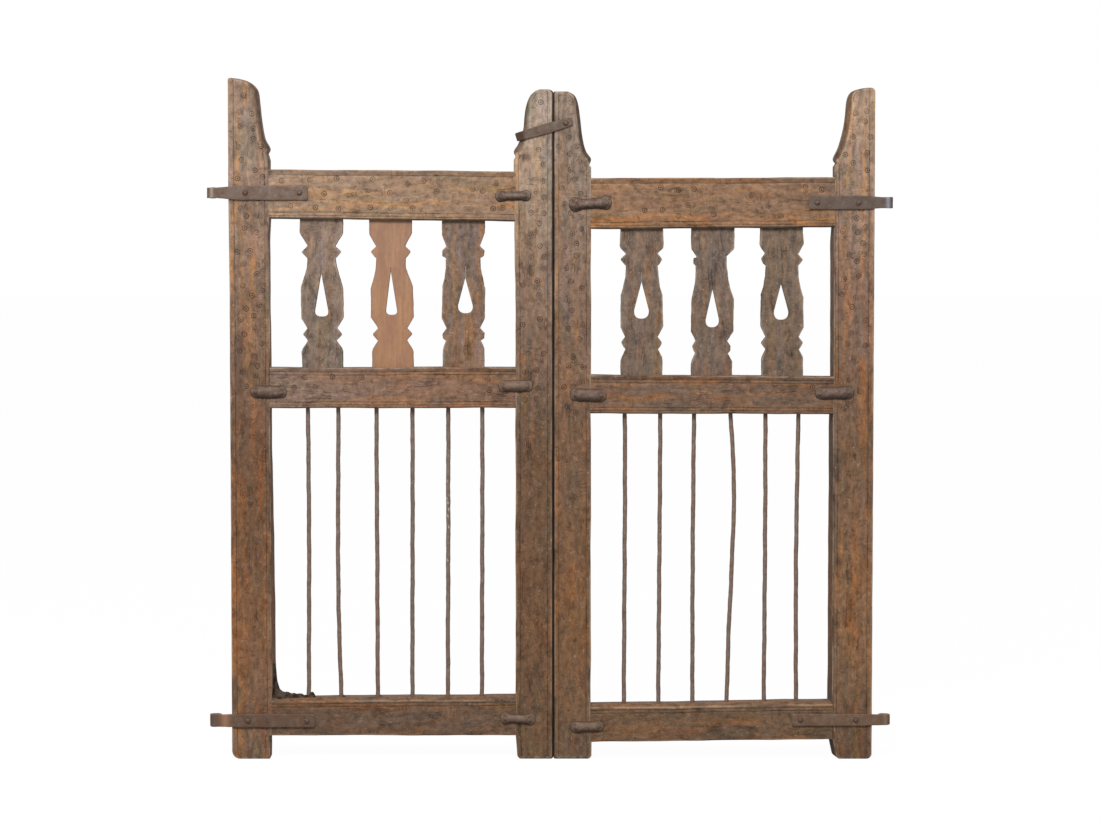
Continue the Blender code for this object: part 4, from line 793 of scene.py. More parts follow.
def teardrop_half(rise, foot, tip, radius, kerf, tall):
    """Half width of the cut-out at each height: a flattened round foot, straight sides that run into it
    from the tip, and a saw kerf above that."""
    centre = foot + tall * radius
    below = unit((centre - rise) / (tall * radius))
    round_foot = radius * (1.0 - below ** FOOT_POWER) ** (1.0 / FOOT_POWER)
    straight = np.clip((tip - rise) / (tip - centre), 0.0, None) * radius * 1.04
    half = np.minimum(round_foot, straight)
    return np.where((rise > foot + 1e-6) & (rise < tip + kerf), np.maximum(half, KERF), 0.0)


def half_splat(rise, outer, inner, front, rear, seed):
    """One side of a splat as rings: front from the outer edge to the cut-out, its wall, the rear, the edge.

    Both faces fall away by the arris radius at the outer edge, and by half of it at the cut-out.
    """
    share = np.concatenate(((0.0, 0.012, 0.035, 0.07), np.linspace(0.13, 0.9, 14), (0.96, 0.985, 1.0)))
    across = outer[:, None] + (inner - outer)[:, None] * share
    run = np.broadcast_to(rise[:, None], across.shape)
    edge = np.abs(across - outer[:, None])
    hole = np.abs(across - inner[:, None]) * 2.0 + np.where(np.abs(inner) > 2.5 * MM, 0.0, 1.0)[:, None]
    drop = arris_drop(np.minimum(edge, hole), SPLAT_ARRIS)
    uneven = dents(seed, run / 2.5, across, 0.035, 0.4 * MM) * unit(edge / 0.006)
    ring_across = np.hstack((across, across[:, ::-1]))
    ring_depth = np.hstack((front + drop + uneven, (rear - drop)[:, ::-1]))
    worn = np.zeros((*ring_across.shape, 4))
    worn[:, :len(share), 0] = np.exp(-((edge - 1.0 * MM) / (1.1 * MM)) ** 2)
    beside = unit(1.0 - np.abs(across - inner[:, None]) / 0.012)
    worn[:, :len(share), 3] = 0.8 * beside * (np.abs(inner) > 4.0 * MM)[:, None]
    # Painted shade along the sawn edges, whose side faces stand in shade
    worn[:, :len(share), 2] = 0.55 * unit(1.0 - edge / (1.6 * MM))
    ring_run = np.broadcast_to(rise[:, None], ring_across.shape)
    return np.stack((ring_run, ring_across, ring_depth), -1), worn, len(share)


def splat_side(seed, height, waist, bead, blunt, lower, broken):
    """Knots of one sawn edge as (rise, half width), a little different on every splat."""
    rng = np.random.default_rng(seed)
    sink, shoulder, notch = lower
    point = SPLAT_HALF - BEAD_BACK * waist + bead
    shaped = []
    for knots, (first, last), way in ((SPLAT_DOWN, BEADS[0], -1.0), (SPLAT_UP, BEADS[1], 1.0)):
        for off, half in knots:
            sawn = SPLAT_HALF - (SPLAT_HALF - half) * waist
            if first < off < last:
                sawn += bead * (half > BEAD_HALF)
                sawn += blunt * (point - sawn)
            if way > 0.0:
                shaped.append((off - sink * (off > 0.0), sawn))
            else:
                down = sink * (off > SWELLING)
                down += shoulder * (SHOULDER[0] < off < SHOULDER[1]) + notch * (NOTCH[0] < off < NOTCH[1])
                shaped.append((height - off - down, sawn))
    knots = np.array(sorted(shaped))
    knots[:, 1] += rng.uniform(-1.0, 1.0, len(knots))
    if broken:
        drop = height - knots[:, 0]
        gone = (drop > BREAK[0]) & (drop < BREAK[1])
        knots[gone, 1] = np.minimum(knots[gone, 1], BREAK_HALF)
    return knots * MM


def new_wood(name):
    """The newer board: plain reddish tan wood with a fine straight grain, a darker heart and little wear."""
    material, nodes, place = start_finish(name)
    streaks = nodes.noise(place, (110.0, 110.0, 7.0), 4.0, 3.0)
    fine = nodes.noise(place, (600.0, 600.0, 40.0), 3.0, 9.0)
    clouds = nodes.noise(place, (30.0, 30.0, 16.0), 4.0, 5.0)
    smut = nodes.noise(place, (120.0, 120.0, 70.0), 5.0, 15.0, 0.65)
    low = nodes.step(nodes.part(place, 2, "XYZ"), 0.98, 0.80)
    colour = nodes.mix(nodes.step(streaks, 0.34, 0.68), tone(156, 117, 92), tone(169, 129, 101))
    colour = nodes.stained(low * 0.7, colour, (1.05, 0.98, 0.80))
    colour = nodes.mix(nodes.step(clouds, 0.44, 0.64) * 0.5, colour, tone(148, 110, 89))
    colour = nodes.stained(nodes.step(smut, 0.60, 0.74) * 0.3, colour, SOOT)
    colour = nodes.scaled(colour, 1.0 + (fine - 0.5) * 0.4 + (smut - 0.5) * 0.5)
    worn = nodes.part(nodes.attribute("wear", "Color"), 0)
    colour = nodes.mix(worn * 0.35, colour, tone(132, 98, 76))
    nodes.finish(colour, 0.6 + fine * 0.15, 0.0, streaks * 0.4 + fine * 0.4, 0.6 * MM, 0.35)
    return material


for number, (name, splat) in enumerate(SPLATS.items()):
    (lean, *lower), teardrop, foot_tone, top_tone, waists, bead, blunt, stains = splat
    leaf = name.split("_")[0]
    seed = 300 + 20 * number
    low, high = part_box(name)
    foot, tip, hole_width, hole_shift, kerf = np.array(teardrop[:5]) * MM
    tall = teardrop[5]
    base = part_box(leaf + "_middle_rail")[1].z
    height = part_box(leaf + "_top_rail")[0].z - base
    right = splat_side(seed, height / MM, waists[1], bead, blunt, lower, name == BROKEN_SPLAT)
    left = splat_side(seed + 10, height / MM, waists[0], bead, blunt, lower, False)
    foot_rows = foot + tall * hole_width / 2.0 * (1.0 - np.cos(np.linspace(0.0, pi / 2.0, 12)))
    rise = np.unique(np.concatenate((
        np.arange(-SPLAT_LAP, height + SPLAT_LAP, 2.0 * MM), right[:, 0], left[:, 0], foot_rows,
        (foot - 0.1 * MM, foot + 0.05 * MM, tip, tip + kerf, height + SPLAT_LAP))).round(5))
    half = teardrop_half(rise, foot, tip, hole_width / 2.0, kerf, tall)
    middle = (low.x + high.x) / 2.0
    points, wears, faces, begin = [], [], [], 0
    for sign, knots, side_seed in ((-1.0, left, seed + 7), (1.0, right, seed + 8)):
        outer = sign * (np.interp(rise, knots[:, 0], knots[:, 1]) + waver(side_seed, rise, *SPLAT_WANDER))
        rings, worn, columns = half_splat(rise, outer, hole_shift + sign * half, low.y, high.y, seed)
        rows, total = rings.shape[:2]
        flat = rings.reshape(-1, 3)
        leaning = lean * MM * flat[:, 0] / height
        points.append(np.stack((middle + leaning + flat[:, 1], flat[:, 2], base + flat[:, 0]), 1))
        wears.append(worn.reshape(-1, 4))
        keep = (np.arange(total) != columns - 1) | (half[:-1] > 0.0)[:, None] | (half[1:] > 0.0)[:, None]
        caps = np.arange(columns - 1)
        for end in (0, (rows - 1) * total):
            cap = np.stack((end + caps, end + caps + 1, end + total - 2 - caps, end + total - 1 - caps), -1)
            faces += (cap + begin).tolist()
        faces += (ring_quads(rows, total)[keep] + begin).tolist()
        begin += len(flat)
    points = np.vstack(points)
    marks = np.full(points.shape, AWAY)
    if name != NEWER_SPLAT:
        spots = scatter(seed + 30, (15.0 * MM, -28.0 * MM), (height - 15.0 * MM, 28.0 * MM), SPLAT_MARKS)
        local = np.stack((points[:, 2] - base, points[:, 0] - middle, points[:, 1]), 1)[None]
        marks = mark_offsets(local, local.shape[1], spots)[0]
        marks[points[:, 1] > low.y + 3.0 * MM, 2] = AWAY
        tones = ((0.70, tone(*foot_tone)), (1.0, tone(*top_tone)))
        wood = old_wood(name + "_finish", "Z", tones, *stains, 0.9, 110.0 + 9.0 * number, SPLAT_PUNCH)
    else:
        wood = new_wood(name + "_finish")
    piece = add_piece(name + "_board", points, faces, leaf + "_leaf",
                      "newer_wood" if name == NEWER_SPLAT else "weathered_wood", wood, [name],
                      wear=np.vstack(wears), mark=marks)
    mend(piece.data, SPLAT_WELD)

# Bars: six thin round iron rods in each lower panel, drawn by hand, slightly bent and rusted brown.
# Each stands in a hole of the bottom rail and one of the middle rail.


def iron(name, tones, metallic, scale, shift):
    """Old iron: a dull base tone with clouds of rust, dark scale, worn pale spots and fine pitting.

    tones are those of the base, rust, scale and pale spots; a fifth is laid over the parts that each piece
    marks: pale chips on a bar, a painted highlight at most straps' eyes and a rust patch on one strap,
    painted shade with some dirt on the cleats, and painted shade on the latch's hook.
    """
    material, nodes, place = start_finish(name)
    base, rust, dark, pale, *overlay_tone = (tone(*shade) for shade in tones)
    clouds = nodes.noise(place, (scale, scale, scale), 5.0, shift, 0.6)
    scabs = nodes.noise(place, (scale * 2.6,) * 3, 5.0, shift + 9.0, 0.62)
    pits = nodes.noise(place, (scale * 11.0,) * 3, 3.0, shift + 4.0)
    colour = nodes.mix(nodes.step(clouds, 0.42, 0.64), base, rust)
    colour = nodes.mix(nodes.step(scabs, 0.53, 0.72) * 0.6, colour, dark)
    colour = nodes.mix(nodes.step(scabs, 0.48, 0.34) * 0.5, colour, pale)
    if overlay_tone:
        # The fifth tone is worn chips and rust, and on some pieces painted shade and painted highlight
        rubbed = nodes.attribute("rubbed", "Fac")
        colour = nodes.mix(rubbed * (0.5 + scabs * 0.6), colour, overlay_tone[0])
    colour = nodes.scaled(colour, 1.0 + (pits - 0.5) * 0.5)
    height = scabs * 0.6 + pits * 0.35 + clouds * 0.6
    roughness = 0.46 + clouds * 0.25
    nodes.finish(colour, roughness, metallic, height, 0.5 * MM, 0.4)
    return material


BAR_TONES = ((126, 106, 94), (120, 92, 78), (92, 72, 62), (150, 130, 118), (222, 212, 202))
bar_iron = iron("rusted_bar_finish", BAR_TONES, 0.15, 55.0, 0.0)
BAR_RADIUS = 4.0 * MM
BAR_SIDES = 14
CHIP_LEVEL = 0.955              # share of the chipped stretch that keeps its rust
BAR_LAP = 8.0 * MM
CHIPPED_BAR = "left_bar_5"
CHIPS = (0.44, 0.08)             # height of its pale chips and how far they go up and down
# Each bar's side place in millimetres at the middle rail, a quarter down, half way, three quarters down
# and at the bottom rail
BARS = {
    "left": ((-449.0, -448.2, -448.0, -448.8, -449.6), (-392.4, -393.4, -394.2, -392.8, -388.8),
             (-322.0, -321.8, -321.3, -321.2, -321.0), (-255.0, -255.2, -255.6, -256.2, -256.4),
             (-188.6, -189.0, -189.2, -190.0, -190.3), (-125.7, -125.6, -126.0, -126.6, -126.9)),
    "right": ((138.8, 139.3, 138.8, 138.2, 137.6), (204.6, 204.2, 203.4, 202.6, 201.8),
              (267.2, 266.2, 265.4, 265.3, 265.6), (335.0, 341.8, 338.6, 332.8, 329.2),
              (399.6, 400.0, 399.8, 399.2, 398.4), (460.9, 459.0, 457.6, 457.9, 458.6)),
}


def tube(path, radius, sides):
    """A round rod: circles of the given radii about the points of a path that runs about upright."""
    turn = np.linspace(0.0, 2.0 * pi, sides, endpoint=False)
    ring = np.stack((np.cos(turn), np.sin(turn), np.zeros(sides)), 1)
    return path[:, None, :] + radius[:, None, None] * ring


for leaf, places in BARS.items():
    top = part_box(leaf + "_middle_rail")[0].z
    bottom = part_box(leaf + "_bottom_rail")[1].z
    for number, sides in enumerate(places):
        name = "%s_bar_%d" % (leaf, number + 1)
        low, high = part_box(name)
        seed = 500 + 20 * (leaf == "right") + number
        levels = np.linspace(top, bottom, len(sides)) / MM
        line = through([(level, side) for level, side in zip(levels, sides)], 4.0) * MM
        z = np.concatenate(((top + BAR_LAP,), line[:, 0], (bottom - BAR_LAP,)))
        x = np.concatenate((line[:1, 1], line[:, 1], line[-1:, 1])) + waver(seed, z, 0.11, 0.45 * MM)
        y = np.full_like(z, (low.y + high.y) / 2.0) + waver(seed + 40, z, 0.13, 0.5 * MM)
        radius = BAR_RADIUS + waver(seed + 80, z, 0.045, 0.22 * MM)
        rings = tube(np.stack((x, y, z), 1), radius, BAR_SIDES)
        chips = np.random.default_rng(seed + 90).random(rings.shape[:2]) > CHIP_LEVEL
        chips &= (name == CHIPPED_BAR) & (np.abs(z - CHIPS[0]) < CHIPS[1])[:, None]
        add_rings(name + "_rod", rings, leaf + "_leaf", "rusted_bar_iron", bar_iron, [name],
                  rubbed=with_poles(chips[..., None] * 1.0))

# Strap hinges: flat bars forged from iron, tapering to an eye that is rolled back round a hook's pin.
# Two hand-made nails with domed heads hold each one to its stile and rail.
STRAP_THICKNESS = 5.0 * MM
EYE_TAPER = (6.0 * MM, 46.0 * MM)       # from the pin, between which the strap widens
EYE_MIDDLE = 8.4 * MM           # radius of the middle of the rolled iron
EYE_TURN = radians(296.0)
FORGED_CORNER = 0.2             # power of the rounded section: 0 is square, 1 is an ellipse
STRAP_SIDES = 36
RIM = 0.5 * MM                  # upset rim at the square end


def ribbon(path, half_width, half_thickness, seed):
    """A forged flat bar along a path in plan, as rings in (x, y, height).

    The section is a rounded oblong: half thickness times cos^p across the bar and half width times
    sin^p up it, on the path's normal. Hammer marks shift the faces and both edges.
    """
    step = np.gradient(path, axis=0)
    step /= np.linalg.norm(step, axis=1)[:, None]
    normal = np.stack((step[:, 1], -step[:, 0]), 1)
    turn = np.linspace(0.0, 2.0 * pi, STRAP_SIDES, endpoint=False)
    through_bar = np.sign(np.cos(turn)) * np.abs(np.cos(turn)) ** FORGED_CORNER
    up_bar = np.sign(np.sin(turn)) * np.abs(np.sin(turn)) ** FORGED_CORNER
    run = np.concatenate(((0.0,), np.cumsum(np.linalg.norm(np.diff(path, axis=0), axis=1))))
    thick = half_thickness[:, None] * through_bar
    tall = half_width[:, None] * up_bar
    thick += dents(seed, run[:, None], tall, 0.022, 0.09 * MM)
    tall += np.sign(up_bar) * waver(seed + 1, run, 0.06, 0.3 * MM)[:, None] * np.abs(up_bar) ** 4
    plan = path[:, None, :] + thick[..., None] * normal[:, None, :]
    return np.concatenate((plan, tall[..., None]), -1)


def turned(profile, centre, seed, uneven):
    """A turned head facing the front: a profile of (radius, stand) round the Y axis, a little uneven."""
    turn = np.linspace(0.0, 2.0 * pi, 28, endpoint=False)
    wobble = 1.0 + uneven * (np.sin(2.0 * turn + seed) + 0.6 * np.sin(3.0 * turn + 2.0 * seed))
    radius = profile[:, :1] * wobble
    return np.stack((centre[0] + radius * np.cos(turn),
                     centre[1] - profile[:, 1:] * np.ones_like(turn),
                     centre[2] + radius * np.sin(turn)), -1)


def dome(radius, height):
    """A nail head's profile: a low dome on a short shank that goes into the hole."""
    turn = np.linspace(0.06, pi / 2.0, 12)
    cap = np.stack((radius * np.sin(turn) ** 0.9, height * np.cos(turn)), 1)
    shank = ((radius * 0.9, -0.5 * MM), (radius * 0.4, -0.8 * MM), (radius * 0.35, -4.0 * MM))
    return np.vstack((cap, shank))


NAIL_RISE = 3.6 * MM
NAIL_SHARE = 0.84               # the seen head is worn smaller than its seat


def nail_piece(name, body, seed, uneven):
    """The domed head that stands for a nail, on the place of its node."""
    low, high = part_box(name)
    centre = ((low.x + high.x) / 2.0, low.y + NAIL_RISE, (low.z + high.z) / 2.0)
    rings = turned(dome(NAIL_SHARE * (high.x - low.x) / 2.0, NAIL_RISE), centre, seed, uneven)
    add_rings(name + "_head", rings, body, "forged_iron", nail_iron, [name])


NAIL_TONES = ((100, 82, 72), (92, 68, 56), (60, 45, 39), (150, 134, 124))
nail_iron = iron("nail_finish", NAIL_TONES, 0.45, 130.0, 8.0)
# Each strap: its base, rust, dark and pale tones, then the tone of a band laid over it, how far that
# lies from the pin, how wide it is, and the height of the eye and of the bar, in millimetres. On the left
# bottom strap the band is a rust patch beside the eye. On the others it is a painted highlight along the
# curve of the eye, and on the right top one it lies over worn bare steel
STRAPS = {
    "left_top": (
        (111, 93, 81), (104, 80, 66), (79, 61, 52), (130, 113, 102),
        (166, 150, 136), -2.0, 3.0, 19.0, 26.5),
    "left_bottom": (
        (103, 80, 65), (103, 75, 56), (71, 54, 44), (123, 102, 87),
        (166, 122, 96), 18.0, 8.0, 23.0, 25.0),
    "right_top": (
        (98, 83, 73), (91, 73, 62), (70, 57, 49), (115, 101, 91),
        (150, 153, 164), -1.5, 4.0, 20.4, 25.0),
    "right_bottom": (
        (115, 91, 74), (109, 80, 60), (79, 60, 49), (135, 114, 97),
        (140, 114, 96), -2.0, 3.0, 19.5, 22.5),
}
for number, (place, (*tones, band_off, band_wide, eye_height, bar_height)) in enumerate(STRAPS.items()):
    name = place + "_strap"
    leaf = place.split("_")[0]
    low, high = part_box(name)
    pin_low, pin_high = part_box(place + "_hinge_pin")
    side = -1.0 if leaf == "left" else 1.0
    axis = (pin_low + pin_high) / 2.0
    end = high.x if leaf == "left" else low.x
    flat = np.linspace(end, axis.x, 84)
    roll = np.linspace(0.0, EYE_TURN, 44)[1:]
    bar = np.stack((flat, np.full_like(flat, axis.y - EYE_MIDDLE)), 1)
    eye = np.stack((axis.x + side * EYE_MIDDLE * np.sin(roll), axis.y - EYE_MIDDLE * np.cos(roll)), 1)
    path = np.vstack((bar, eye))
    ends = np.ones(len(path))
    ends[:2] = (0.88, 0.98)
    ends[-2:] = (0.97, 0.85)
    strap_height = np.interp(np.abs(path[:, 0] - axis.x), EYE_TAPER, (eye_height, bar_height))
    half_width = strap_height / 2.0 * MM * ends ** 0.2
    rim = RIM * np.exp(-((np.abs(path[:, 0] - end) - 2.5 * MM) / (2.0 * MM)) ** 2)
    rings = ribbon(path, half_width, STRAP_THICKNESS / 2.0 * ends + rim, 600 + 10 * number)
    points = with_poles(rings)
    points[:, 2] += axis.z
    # The band laid over the iron is a painted highlight on the curve of the eye, except on the left bottom
    # strap, where it is a rust patch beside the eye
    rubbed = np.exp(-((side * (axis.x - points[:, 0]) - band_off * MM) / (band_wide * MM)) ** 2)
    metal = iron(name + "_finish", tones, 0.25, 42.0, 5.0 + 3.0 * number)
    add_piece(name + "_bar", points, ring_faces(rings), leaf + "_leaf", "forged_iron", metal, [name],
              rubbed=rubbed)
    for offset, nail in enumerate(("stile_nail", "rail_nail")):
        nail_piece(place + "_" + nail, leaf + "_leaf", 640 + 10 * number + offset, 0.04)

# Hinge pins: the short round pins of the hooks on which the eyes turn, worn bright and greasy.
# Each was forged with its hook and filed round, with a slightly domed top.
PIN_TONES = ((98, 84, 76), (90, 70, 60), (58, 46, 41), (138, 126, 118))
pin_iron = iron("pin_finish", PIN_TONES, 0.45, 90.0, 3.0)
PIN_DOME = 1.2 * MM
for leaf in ("left", "right"):
    for rail in ("top", "bottom"):
        name = "%s_%s_hinge_pin" % (leaf, rail)
        low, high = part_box(name)
        radius = (high.x - low.x) / 2.0 - 0.1 * MM
        rise = np.linspace(low.z, high.z - PIN_DOME, 8)
        turn = np.linspace(0.0, pi / 2.0 - 0.05, 6)
        z = np.concatenate((rise, high.z - PIN_DOME + PIN_DOME * np.sin(turn[1:])))
        size = np.concatenate((np.full(len(rise), radius), radius * np.cos(turn[1:]) ** 0.35))
        centre = (low + high) / 2.0
        rings = tube(np.stack((np.full_like(z, centre.x), np.full_like(z, centre.y), z), 1), size, 24)
        add_rings(name + "_rod", rings, "hinge_pins", "forged_iron", pin_iron, [name])

# Joint cleats: short forged bars across the joints of stile and rail, half round in the middle, with
# their ends hammered flat and a small nail driven through each end.
# Their base, rust, dark and pale tones, and the tone of the painted shade, with some dirt, laid over the
# lower half, rim and tips: bare iron, rusted brown, and dusted over like the wood
CLEAT_TONES = {
    "bare": ((108, 90, 78), (97, 74, 60), (68, 52, 43), (150, 134, 120), (50, 37, 30)),
    "brown": ((104, 83, 71), (98, 74, 60), (70, 52, 42), (134, 115, 103), (60, 44, 36)),
    "dusty": ((114, 92, 76), (108, 84, 67), (82, 63, 51), (138, 118, 100), (68, 52, 42)),
}
# Each cleat: how far it lies off level in degrees, its size, its middle against its ends, and its finish
CLEATS = {
    "left_top_meeting": (1.5, 0.92, 0.76, "bare"), "left_middle_outer": (-1.0, 1.0, 1.05, "brown"),
    "left_middle_meeting": (0.5, 0.95, 1.0, "dusty"), "left_bottom_meeting": (-2.5, 1.04, 0.7, "dusty"),
    "right_top_meeting": (3.5, 1.16, 0.72, "bare"), "right_middle_meeting": (-1.5, 1.02, 1.04, "brown"),
    "right_middle_outer": (1.5, 1.0, 1.02, "brown"), "right_bottom_meeting": (2.0, 0.92, 0.95, "dusty"),
}
CLEAT_PLATE = 2.6 * MM
CLEAT_ROUND = 8.7 * MM          # how far the half-round middle stands out
CLEAT_LOBE = 11.2 * MM
CLEAT_NAIL = 3.8 * MM
CLEAT_NAIL_RISE = 2.5 * MM
CLEAT_NAIL_INSET = 8.5 * MM


def cleat_rings(length, lobe, middle, seed):
    """A cleat as rings along its length, in (along, stand, up), and how dark each point is.

    Half width: round ends as wide as the lobe, changed to the middle's share of it between them. Stand: a
    thin plate at the ends; a half circle, squeezed to the stand of the middle, that dies out towards both
    ends; a dome for each nail. The lower half, the rim and the tips are darkened: painted shade, with some
    dirt.
    """
    rng = np.random.default_rng(seed)
    half = length / 2.0
    turn = np.linspace(-pi / 2.0 + 0.02, pi / 2.0 - 0.02, 90)
    along = half * np.sin(turn)
    near = unit((half - np.abs(along)) / (0.9 * lobe))
    end_round = np.sqrt(1.0 - (1.0 - near) ** 2)
    pinch = np.exp(-(along / (0.55 * half)) ** 6)
    width = end_round * lobe * (1.0 + (middle - 1.0) * pinch)
    width = width * (1.0 + waver(seed, along, 0.03, 0.06)) + 0.3 * MM
    spread = np.sin(np.linspace(-pi / 2.0, pi / 2.0, 31))
    up = width[:, None] * spread
    rim = (1.0 - spread ** 8) ** 0.5
    ends = unit((half - np.abs(along)) / (1.5 * MM))[:, None]
    plate = CLEAT_PLATE * (0.2 + 0.8 * rim) * ends ** 0.5
    barrel = unit((0.93 * half - np.abs(along)) / (0.42 * half))
    barrel = barrel * barrel * (3.0 - 2.0 * barrel)
    stand = np.maximum(plate, CLEAT_ROUND * barrel[:, None] * np.sqrt(unit(1.0 - spread ** 2)))
    for side in (-1.0, 1.0):
        off = np.hypot(along[:, None] - side * (half - CLEAT_NAIL_INSET), up - rng.uniform(-1.0, 1.0) * MM)
        stand = stand + CLEAT_NAIL_RISE * np.sqrt(unit(1.0 - (off / CLEAT_NAIL) ** 2))
    stand = stand + dents(seed + 1, along[:, None], up, 0.014, 0.3 * MM) * rim
    # Painted shade, with some dirt: the lower half, the rim and the tips take the dark underside tone
    dark = unit((-spread - 0.05) / 0.55)
    dark = np.maximum(dark, unit((np.abs(spread) - 0.86) / 0.1))
    dark = np.maximum(dark, unit((0.16 - near) / 0.1)[:, None])
    run = np.broadcast_to(along[:, None], up.shape)
    front = np.stack((run, np.maximum(stand, 0.1 * MM), up), -1)
    rear = np.stack((run, np.zeros_like(up), up), -1)[:, ::-1]
    return np.concatenate((front, rear[:, 1:-1]), 1), np.hstack((dark, np.ones_like(up)[:, 1:-1]))


cleat_finishes = {kind: iron(kind + "_cleat_finish", shades, 0.28 if kind == "bare" else 0.1, 80.0, 12.0)
                  for kind, shades in CLEAT_TONES.items()}
for number, (place, (tilt, size, middle, kind)) in enumerate(CLEATS.items()):
    name = place + "_cleat"
    leaf = place.split("_")[0]
    low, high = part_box(name)
    # dark is where this cleat's painted shade, with some dirt, lies
    rings, dark = cleat_rings(high.x - low.x, CLEAT_LOBE * size, middle, 700 + 5 * number)
    points = with_poles(rings)
    slope = radians(tilt)
    points = np.stack(((low.x + high.x) / 2.0 + points[:, 0] * cos(slope) - points[:, 2] * sin(slope),
                       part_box(leaf + "_top_rail")[0].y + 0.2 * MM - points[:, 1],
                       (low.z + high.z) / 2.0 + points[:, 0] * sin(slope) + points[:, 2] * cos(slope)), 1)
    add_piece(name + "_plate", points, ring_faces(rings), leaf + "_leaf", "forged_iron", cleat_finishes[kind],
              [name], rubbed=with_poles(dark[..., None]))

# Latch: a flat forged bar on a nail in the right meeting stile. It lies across the gap between the
# leaves, and its end is bent back over the chamfered edge of the left stile.
# The fifth tone is painted shade on the hook that is bent back past the bend
LATCH_TONES = ((97, 80, 68), (91, 69, 55), (64, 50, 41), (120, 103, 91), (78, 60, 48))
latch_iron = iron("latch_finish", LATCH_TONES, 0.22, 60.0, 16.0)
LATCH_SLOPE = radians(16.0)
LATCH_THICKNESS = 4.2 * MM
LATCH_REST = 0.7 * MM           # off the wood
LATCH_TAIL = 13.5 * MM
LATCH_ROUND = 7.0 * MM          # radius of the tail behind the nail
LATCH_RUN = 76.0 * MM           # from the nail to the bend
LATCH_BEND = radians(42.0)
BEND_RADIUS = 9.0 * MM
HOOK_RUN = 15.5 * MM
low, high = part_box("latch_nail")
nail_x, nail_z = (low.x + high.x) / 2.0, (low.z + high.z) / 2.0
tail = LATCH_ROUND * (1.0 - np.cos(np.linspace(0.1, pi / 2.0, 12)))
straight_run = np.concatenate((tail - LATCH_TAIL, np.linspace(LATCH_ROUND - LATCH_TAIL, LATCH_RUN, 56)[1:]))
bend = np.linspace(0.0, LATCH_BEND, 12)[1:]
rest_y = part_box("left_top_rail")[0].y - LATCH_REST - LATCH_THICKNESS / 2.0
curve = np.stack((LATCH_RUN + BEND_RADIUS * np.sin(bend), rest_y + BEND_RADIUS * (1.0 - np.cos(bend))), 1)
hook = curve[-1] + np.linspace(0.0, HOOK_RUN, 14)[1:, None] * np.array((cos(LATCH_BEND), sin(LATCH_BEND)))
path = np.vstack((np.stack((straight_run, np.full_like(straight_run, rest_y)), 1), curve, hook))
span = unit(np.abs(path[:, 0] - 38.0 * MM) / (52.0 * MM))
half_width = (18.6 - 3.4 * span ** 1.6) / 2.0 * MM
ends = np.ones(len(path))
ends[:12] = np.sqrt(1.0 - (1.0 - tail / LATCH_ROUND) ** 2)
ends[-2:] = (0.98, 0.9)
rings = ribbon(path, half_width * ends, LATCH_THICKNESS / 2.0 * ends ** 0.3, 760)
points = with_poles(rings)
# Painted shade: the hook past the bend takes the dark fifth tone
rubbed = unit((points[:, 0] - LATCH_RUN - 3.0 * MM) / (4.0 * MM))
points = np.stack((nail_x - points[:, 0] * cos(LATCH_SLOPE) - points[:, 2] * sin(LATCH_SLOPE), points[:, 1],
                   nail_z - points[:, 0] * sin(LATCH_SLOPE) + points[:, 2] * cos(LATCH_SLOPE)), 1)
add_piece("latch_bar_iron", points, ring_faces(rings), "latch", "forged_iron", latch_iron, ["latch_bar"],
          rubbed=rubbed)
nail_piece("latch_nail", "right_leaf", 770, 0.05)

# Dirt: dry dust and old cobweb that has gathered in the lower left corner of the left leaf and round
# the feet of its bars.


def dust_finish(name):
    """Dry grey-brown dust with a crumbly surface."""
    material, nodes, place = start_finish(name)
    crumbs = nodes.noise(place, (420.0, 420.0, 420.0), 4.0, 2.0, 0.65)
    clouds = nodes.noise(place, (90.0, 90.0, 90.0), 3.0, 6.0)
    colour = nodes.mix(nodes.step(clouds, 0.4, 0.62), tone(46, 36, 29), tone(90, 77, 65))
    colour = nodes.scaled(colour, 1.0 + (crumbs - 0.5) * 1.0)
    nodes.finish(colour, 0.85 + crumbs * 0.1, 0.0, crumbs, 1.2 * MM, 0.15)
    return material


dust = dust_finish("corner_dust")


def heap(along, height, half_depth, middle_y, base, seed):
    """A low heap along X: at each place half an ellipse over the rail, with crumbs, and a flat foot."""
    turn = np.linspace(0.0, pi, 19)
    crumble = 1.0 + dents(seed, along[:, None], turn * 0.02, 0.012, 0.14)
    y = middle_y - half_depth[:, None] * np.cos(turn)
    z = base + height[:, None] * np.sin(turn) * crumble
    x = np.broadcast_to(along[:, None], y.shape)
    return np.stack((x, y, z), -1)


corner_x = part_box("left_outer_stile")[1].x
rail_low, rail_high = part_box("left_bottom_rail")
rail_middle = (rail_low.y + rail_high.y) / 2.0
run = np.concatenate((np.linspace(-1.0, 13.0, 44), np.linspace(13.0, 71.0, 44)[1:])) * MM
steep = 34.0 * np.exp(-np.clip(run - 0.0062, 0.0, None) / (1.6 * MM))
slack = 16.0 * np.exp(-np.clip(run - 0.0075, 0.0, None) / (4.5 * MM))
fillet = (steep + slack + 15.0 * np.clip(1.0 - run / 0.125, 0.02, 1.0)) * MM
depth = (6.0 + 10.0 * unit(run / 0.012) * np.clip(1.1 - run / 0.09, 0.1, 1.0)) * MM
rings = heap(corner_x + run, fillet, depth, rail_middle, rail_high.z - 1.0 * MM, 800)
add_rings("left_corner_dirt", rings, "left_leaf", "weathered_wood", dust, [])
BAR_DIRT = ((-444.0, 11.0), (-384.5, 6.5), (-317.5, 6.0), (-252.5, 5.0))    # side place and size of each heap
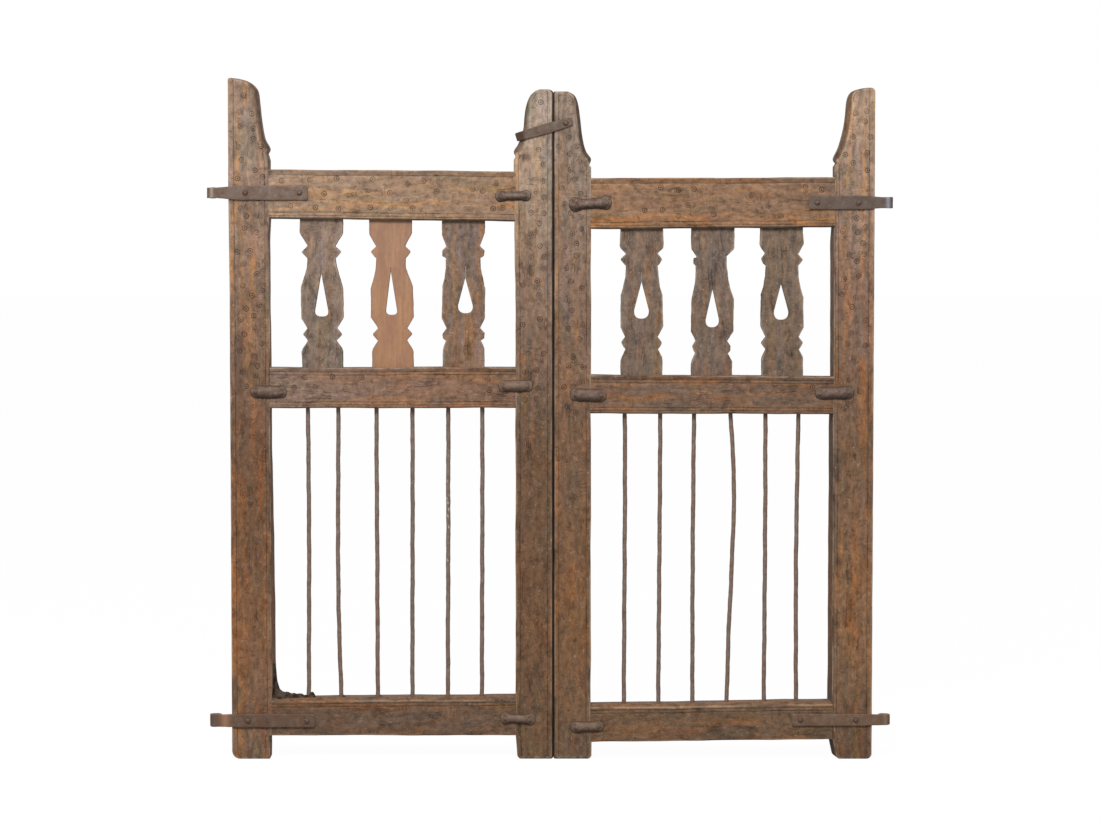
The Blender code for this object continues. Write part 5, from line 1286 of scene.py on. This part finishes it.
for number, (side, size) in enumerate(BAR_DIRT):
    run = np.linspace(-0.98, 0.98, 26)
    bulge = np.sqrt(1.0 - run ** 2)
    rings = heap((side + run * size * 0.7) * MM, size * 1.1 * MM * bulge, size * 0.8 * MM * bulge,
                 rail_middle, rail_high.z - 0.8 * MM, 810 + number)
    add_rings("left_bar_dirt_%d" % (number + 1), rings, "left_leaf", "weathered_wood", dust, [])

# Studio: a white sweep of floor, soft light from the whole room, one large lamp above the camera, and a
# camera straight in front, far off with a long lens.
FLOOR_REACH = 40.0
FLOOR_GLOW = 0.85               # share of the floor's own white that the camera sees over its shadow
floor_mesh = bpy.data.meshes.new("floor")
floor_corners = [(x * FLOOR_REACH, y * FLOOR_REACH, 0.0) for x, y in ((-1, -1), (1, -1), (1, 1), (-1, 1))]
floor_mesh.from_pydata(floor_corners, [], [(0, 1, 2, 3)])
floor = placed("floor", floor_mesh)
floor_paper = bpy.data.materials.new("floor_paper")
floor_paper.use_nodes = True
paper = Nodes(floor_paper.node_tree)
matte = paper.node("ShaderNodeBsdfDiffuse", {}, {"Color": (0.45, 0.45, 0.45, 1.0)})
glow = paper.node("ShaderNodeEmission", {}, {"Color": (1.0, 1.0, 1.0, 1.0), "Strength": 1.12})
seen = paper.node("ShaderNodeLightPath", {}, {}, "Is Camera Ray")
blended = paper.node("ShaderNodeMixShader", {}, {0: seen * FLOOR_GLOW, 1: matte, 2: glow})
paper.tree.links.new(blended.socket, paper.tree.nodes["Material Output"].inputs["Surface"])
floor_mesh.materials.append(floor_paper)

world = bpy.data.worlds.new("white_room")
bpy.context.scene.world = world
world.use_nodes = True
room = Nodes(world.node_tree)
seen, glossy, clear = (room.node("ShaderNodeLightPath", {}, {}, "Is %s Ray" % kind)
                       for kind in ("Camera", "Glossy", "Transmission"))
AMBIENT = 0.55
white = room.node("ShaderNodeMath", {"operation": "MINIMUM"}, {0: seen + glossy + clear, 1: 1.0})
backdrop = room.node("ShaderNodeBackground", {}, {"Color": (1.0, 1.0, 1.0, 1.0),
                                                  "Strength": white * (1.0 - AMBIENT) + AMBIENT})
room.tree.links.new(backdrop.socket, room.tree.nodes["World Output"].inputs["Surface"])

lamp = bpy.data.lights.new("large_lamp", "AREA")
lamp.shape = "RECTANGLE"
lamp.size = 2.0
lamp.size_y = 1.0
lamp.energy = 93.0
key = placed("large_lamp", lamp)
key.location = (-0.4, -3.0, 2.7)
key.rotation_euler = (radians(55.5), 0.0, radians(-7.6))

lens = bpy.data.cameras.new("camera")
lens.sensor_fit = "HORIZONTAL"
lens.sensor_width = 36.0
lens.lens = 106.047
camera = placed("camera", lens)
camera.location = (0.0, -6.0, 0.9907)
camera.rotation_euler = (radians(86.707), 0.0, 0.0)
bpy.context.scene.camera = camera
bpy.context.scene.view_settings.view_transform = "Standard"
